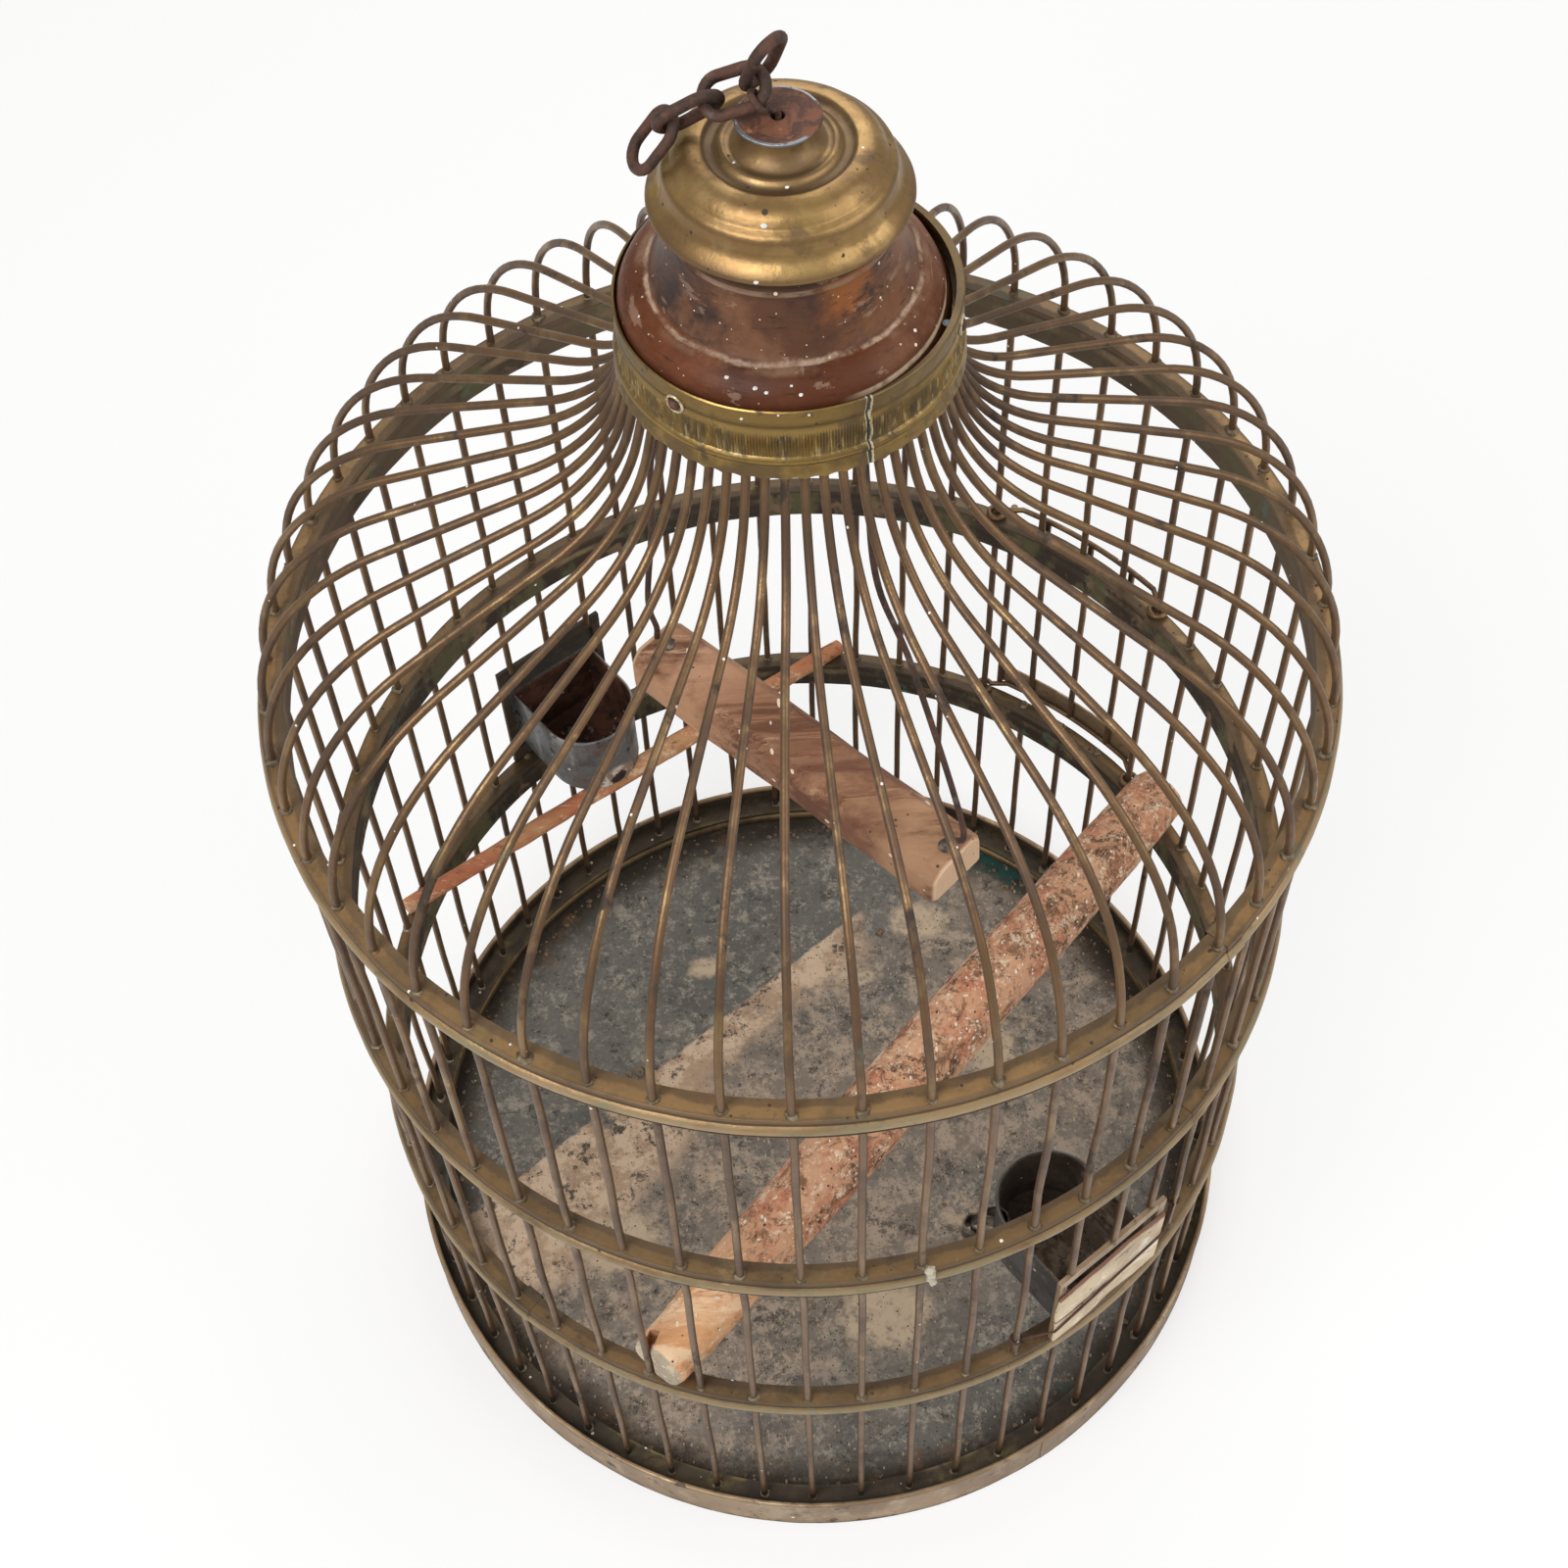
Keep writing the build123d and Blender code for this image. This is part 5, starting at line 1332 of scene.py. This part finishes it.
def tie():
    """Thin wire across the front plate, looped round a bar on either side."""
    place = wall_frame(46)
    line = []
    for side, height in ((-1, 167.0), (1, 178.0)):
        bar = at(R, side * 2 * PITCH)
        loop = []
        for i in range(22):
            share = 0.88 * i / 21
            t = 2 * pi * share
            loop.append((bar.x + 2.3 * cos(t), bar.y + side * 2.3 * sin(t), height - 1.8 * (1 - share)))
        loop.append((193.0, side * 30.2, height))
        line += loop if side < 0 else loop[::-1]
    shape = Shape().tube([place(*p) for p in line], 0.6, 8)
    piece("tie_wire_round", shape, RUST, replaces=("tie_wire",))


tie()


# Door
DOOR_R = 196.4
DOOR_FOOT = LOWER + 0.3 + 1.25
DOOR_HEAD = MIDDLE + 0.3 + 1.25
DOOR_SIDES = (5 * PITCH + degrees(5.5 / R), 9 * PITCH - degrees(5.5 / R))


def door_rod(name, height):
    """A cross rod whose ends are eyes round the guide wires."""
    def eye_line(bar, side):
        azimuth = bar * PITCH
        points = []
        for i in range(22):
            t = 2 * pi * (0.12 - 0.88 * i / 21)
            out, aside = at(1, azimuth), at(1, azimuth + 90)
            points.append(out * (R + 3.5 * cos(t)) + aside * (side * 3.5 * sin(t)) + Vector((0, 0, height)))
        return points[::-1] + [at(DOOR_R, azimuth + degrees(side * 10 / DOOR_R), height)]

    across = [at(DOOR_R, azimuth, height) for azimuth in along_line(36.5, 56.8, 12)]
    line = eye_line(5, 1) + across[1:-1] + eye_line(9, -1)[::-1]
    piece(name + "_round", Shape().tube(line, 1.25, 10), WIRE, body="door", replaces=(name,))


def door_wires():
    heights = along_line(DOOR_FOOT, DOOR_HEAD, 10)
    wires, rods = Shape(), Shape()
    for k in (6, 7, 8):
        wires.tube([at(DOOR_R, k * PITCH, z) + at(0.4 * wobble((k * 9, i, 0), 0.6), k * PITCH + 90)
                    for i, z in enumerate(heights)], 1.5, 10)
    for azimuth in DOOR_SIDES:
        rods.tube([at(DOOR_R, azimuth, z) for z in heights], 1.5, 10)
    for name, shape in (("door_wires", wires), ("door_side_rods", rods)):
        piece(name + "_round", shape, WIRE, body="door", replaces=(name,))


def door_rail():
    section = soften([(197.9, 151.3), (198.9, 151.3), (198.9, 163.3), (197.9, 163.3)], 0.4)
    rows = []
    for azimuth in along_line(*DOOR_SIDES, 24):
        bulge = 0.2 * wobble((azimuth, 0, 0), 0.4, 4)
        rows.append([at(r + bulge, azimuth, z) for r, z in section])
    piece("door_rail_strip", Shape().grid(rows, caps=True), BAND, body="door", replaces=("door_rail",))


door_rod("door_bottom_rod", DOOR_FOOT)
door_rod("door_top_rod", DOOR_HEAD)
door_wires()
door_rail()


# Swing
SWING_ALONG, SWING_ACROSS = at(1, 315.3), at(1, 405.3)
SWING_HALF, SWING_MIDDLE, EYE_HEIGHT = 79, 340, 566


def swing_place(along, across, up):
    return SWING_ALONG * along + SWING_ACROSS * across + Vector((0, 0, up))


def swing_bar():
    """A split board with chamfered upper edges, and a dark disc at each end as painted shade of a hole."""
    rows, n = [], 60
    section = soften([(-14.5, 330), (14.5, 330), (14.5, 345), (9.5, 350), (-9.5, 350), (-14.5, 345)], 1.6)
    for i in range(n + 1):
        along = SWING_HALF * (2 * i / n - 1)
        at_end = i in (0, n)
        shrink = 0.9 if at_end else 1.0
        row = []
        for across, up in section:
            push = 0.5 * wobble((along, across, up), 0.04, 101) - 0.5
            push += 0.35 * wobble((along * 0.25, across, up), 0.2, 102)
            out = Vector((0, across, up - SWING_MIDDLE)).normalized()
            p = Vector((along, across * shrink, SWING_MIDDLE + (up - SWING_MIDDLE) * shrink)) + out * push
            if at_end:
                p.x *= 1 - 0.006 * (1 + wobble((0, across, up), 0.2, 5))
            row.append(swing_place(*p))
        rows.append(row)
    piece("swing_bar_split", Shape().grid(rows, caps=True), SWING, body="swing", replaces=("swing_bar",),
          angle=50)
    # Painted shade: dark discs on the top stand in for the holes, which are not cut
    hole_shades = Shape()
    for along in (72.5, -71):
        hole_shades.tube([swing_place(along, 0, 345), swing_place(along, 0, 350.1)], 3.2, 14,
                   swell=lambda p, j, i: 1 + 0.25 * wobble((j, i, along), 0.8, 2))
    piece("swing_hole_shades", hole_shades, TIN_AND_HOLE_SHADE, body="swing")


def swing_wire(name, side, shares):
    """Bent wire from the bar's end to its screw eye, through shares of its reach and of its drop."""
    reach, drop = 76, EYE_HEIGHT - 350
    flat = [(76, 344), (76.3, 351)] + [(reach * out, EYE_HEIGHT - drop * down) for out, down in shares]
    flat += [(31.1, 562.5), (31.2, 565.6), (34.5, 566.0), (37.4, 565.9), (37.9, 566.0)]
    line = curve_through([swing_place(side * x, 0, z) for x, z in flat], 7)
    piece(name + "_round", Shape().tube(line, 1.2, 8), RUST, body="swing", replaces=(name,))


def swing_eye(name, side):
    reach, size, bar_radius = side * 34.5, 2.8, 1.1
    ring = [swing_place(reach, size * cos(t), EYE_HEIGHT + size * sin(t)) for t in circle(24)]
    shape = Shape().tube(ring, bar_radius, 8, closed=True)
    shape.tube([swing_place(reach, 0, z) for z in (568.8, 572, 577.6)], bar_radius, 8)
    piece(name + "_round", shape, RUST, replaces=(name,))


swing_bar()
swing_wire("swing_wire_right", 1, ((1.0, 0.97), (1.04, 0.9), (0.71, 0.57), (0.5, 0.42), (0.44, 0.24),
                                   (0.41, 0.06)))
swing_wire("swing_wire_left", -1, ((1.0, 0.97), (1.04, 0.9), (0.95, 0.68), (0.88, 0.46), (0.62, 0.22),
                                   (0.42, 0.06)))
swing_eye("swing_eye_right", 1)
swing_eye("swing_eye_left", -1)


# Perches
def share_at(pairs, t):
    """Value at t between pairs of (place, value)."""
    for (start, low), (end, high) in zip(pairs, pairs[1:]):
        if t <= end + 1e-9:
            return low + (high - low) * (t - start) / (end - start)


def branch(name, start, end, shares, thickness, look, seed, rough, sides=28):
    """An uneven round stick that lies on the lower hoop; shares are its thickness along its length."""
    run = end - start
    heading = run.normalized()
    side = heading.cross(Vector((0, 0, 1))).normalized()
    rows, n = [], max(24, int(run.length / 3))
    for i in range(n + 1):
        t = i / n
        radius = thickness * share_at(shares, t) / 2
        at_end = i in (0, n)
        shrink = 0.94 if at_end else 1
        middle = start + run * t + Vector((0, 0, LOWER + 0.1 + radius))
        row = []
        for a in circle(sides):
            out = side * cos(a) + Vector((0, 0, 1)) * sin(a)
            p = middle + out * radius
            waves = enumerate(((0.9, 0.03), (0.5, 0.09), (0.25, 0.3)))
            push = rough * (sum(size * wobble(p, scale, seed + k) for k, (size, scale) in waves) - 0.9)
            if sin(a) < -0.7:
                push = min(push, 0)
            q = middle + out * (radius * shrink + push)
            if at_end:
                q += heading * (0.8 * wobble(p, 0.15, seed + 5)) * (1 if i == 0 else -1)
            row.append(q)
        rows.append(row)
    return piece(name + "_turned", Shape().grid(rows, caps=True), look, replaces=(name,),
                 angle=50)


def cut_notch(obj, k, deep):
    """Cuts a slot for bar k into the end of a stick."""
    mesh = mesh_of("notch", box_shape(Shape(), wall_frame(k), (R - deep, -2.4, 140), (R + 40, 2.4, 260)))
    tool = add_object("notch", mesh)
    work = bmesh.new()
    work.from_mesh(mesh)
    bmesh.ops.remove_doubles(work, verts=work.verts, dist=1e-6)
    bmesh.ops.recalc_face_normals(work, faces=work.faces)
    work.to_mesh(mesh)
    work.free()
    modifier = obj.modifiers.new("cut", "BOOLEAN")
    modifier.operation = "DIFFERENCE"
    modifier.solver = "EXACT"
    modifier.object = tool
    bpy.context.view_layer.update()
    result = bpy.data.meshes.new_from_object(obj.evaluated_get(bpy.context.evaluated_depsgraph_get()))
    obj.modifiers.clear()
    obj.data = result
    bpy.data.objects.remove(tool)


log = branch("log_perch", at(191, 247.9), at(191, 27.2),
             ((0.0, 0.8), (0.12, 0.87), (0.38, 1.0), (0.62, 0.97), (0.85, 0.94), (1.0, 0.88)),
             33.0, LOG, 111, 0.75)
cut_notch(log, 37, 9.5)
cut_notch(log, 4, 2.2)
branch("thin_perch", at(193, 24.62 * PITCH), at(193, 12.38 * PITCH),
       ((0, 0.85), (0.2, 0.92), (0.5, 1.0), (0.8, 0.96), (1, 0.85)), 10.3, STICK, 112, 0.6, 16)


# Small finds
def curled_tin():
    """The scrap of tin that lies curled beside the front cup."""
    centre, wide, sheet = at(140, 298.5), 1.25, 0.7
    rows = []
    for i in range(45):
        t = i / 44
        radius = (9.5 - 7.5 * t) * (1 + 0.45 * wobble((i * 2.0, 0, 0), 0.12, 9))
        a = radians(-60 + 760 * t)
        heights = (152 + 3 * t, 158 + 2 * t, 166 - 5 * t)
        row = [centre + Vector((radius * cos(a) * wide, radius * sin(a), z)) for z in heights]
        radius -= sheet
        rows.append(row + [centre + Vector((radius * cos(a) * wide, radius * sin(a), z))
                           for z in heights[::-1]])
    piece("curled_tin_strip", Shape().grid(rows, caps=True), TIN_AND_HOLE_SHADE, angle=60)


curled_tin()


# Stage and light
def shader(tree, kind, colour, strength=None):
    made = tree.nodes.new(kind)
    made.inputs["Color"].default_value = (*colour, 1)
    if strength is not None:
        made.inputs["Strength"].default_value = strength
    return made


def mix_shaders(tree, share, plain, seen, output):
    mix = tree.nodes.new("ShaderNodeMixShader")
    for socket, made in zip(mix.inputs, (share, plain, seen)):
        tree.links.new(made.outputs[0], socket)
    tree.links.new(mix.outputs[0], tree.nodes.new(output).inputs[0])


def stage_floor():
    """A pale floor that the camera sees a little brighter than the light does."""
    mesh = bpy.data.meshes.new("stage_floor")
    mesh.from_pydata([(-8, -8, 0), (8, -8, 0), (8, 8, 0), (-8, 8, 0)], [], [(0, 1, 2, 3)])
    floor = add_object("stage_floor", mesh)
    floor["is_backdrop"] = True
    material = bpy.data.materials.new("stage_white")
    material.use_nodes = True
    tree = material.node_tree
    tree.nodes.clear()
    path = tree.nodes.new("ShaderNodeLightPath")
    share = tree.nodes.new("ShaderNodeMath")
    share.operation = "MULTIPLY"
    share.inputs[1].default_value = 0.62
    tree.links.new(path.outputs["Is Camera Ray"], share.inputs[0])
    diffuse = shader(tree, "ShaderNodeBsdfDiffuse", (0.86, 0.86, 0.86))
    glow = shader(tree, "ShaderNodeEmission", (1, 1, 1), 1.0)
    mix_shaders(tree, share, diffuse, glow, "ShaderNodeOutputMaterial")
    mesh.materials.append(material)


def studio():
    """Soft light from all around, in front of a white ground."""
    world = bpy.data.worlds.new("studio")
    bpy.context.scene.world = world
    world.use_nodes = True
    tree = world.node_tree
    tree.nodes.clear()
    path = tree.nodes.new("ShaderNodeLightPath")
    seen = tree.nodes.new("ShaderNodeMath")
    seen.operation = "MAXIMUM"
    tree.links.new(path.outputs["Is Camera Ray"], seen.inputs[0])
    tree.links.new(path.outputs["Is Transmission Ray"], seen.inputs[1])
    soft = shader(tree, "ShaderNodeBackground", (1.0, 0.98, 0.95), 0.45)
    white = shader(tree, "ShaderNodeBackground", (1, 1, 1), 1.0)
    mix_shaders(tree, seen, soft, white, "ShaderNodeOutputWorld")


def lamp(name, place, power, size):
    data = bpy.data.lights.new(name, "AREA")
    data.energy = power
    data.size = size
    obj = add_object(name, data)
    obj.location = place
    cage_middle = Vector((0, 0, 0.3))
    obj.rotation_euler = (cage_middle - Vector(place)).to_track_quat("-Z", "Y").to_euler()


stage_floor()
studio()
lamp("key", (-0.9, -1.1, 2.0), 34, 1.2)
lamp("fill", (1.4, -0.5, 1.4), 13, 1.4)
lamp("back", (0.2, 1.5, 1.7), 13, 1.2)
bpy.context.scene.view_settings.view_transform = "Standard"

low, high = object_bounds()
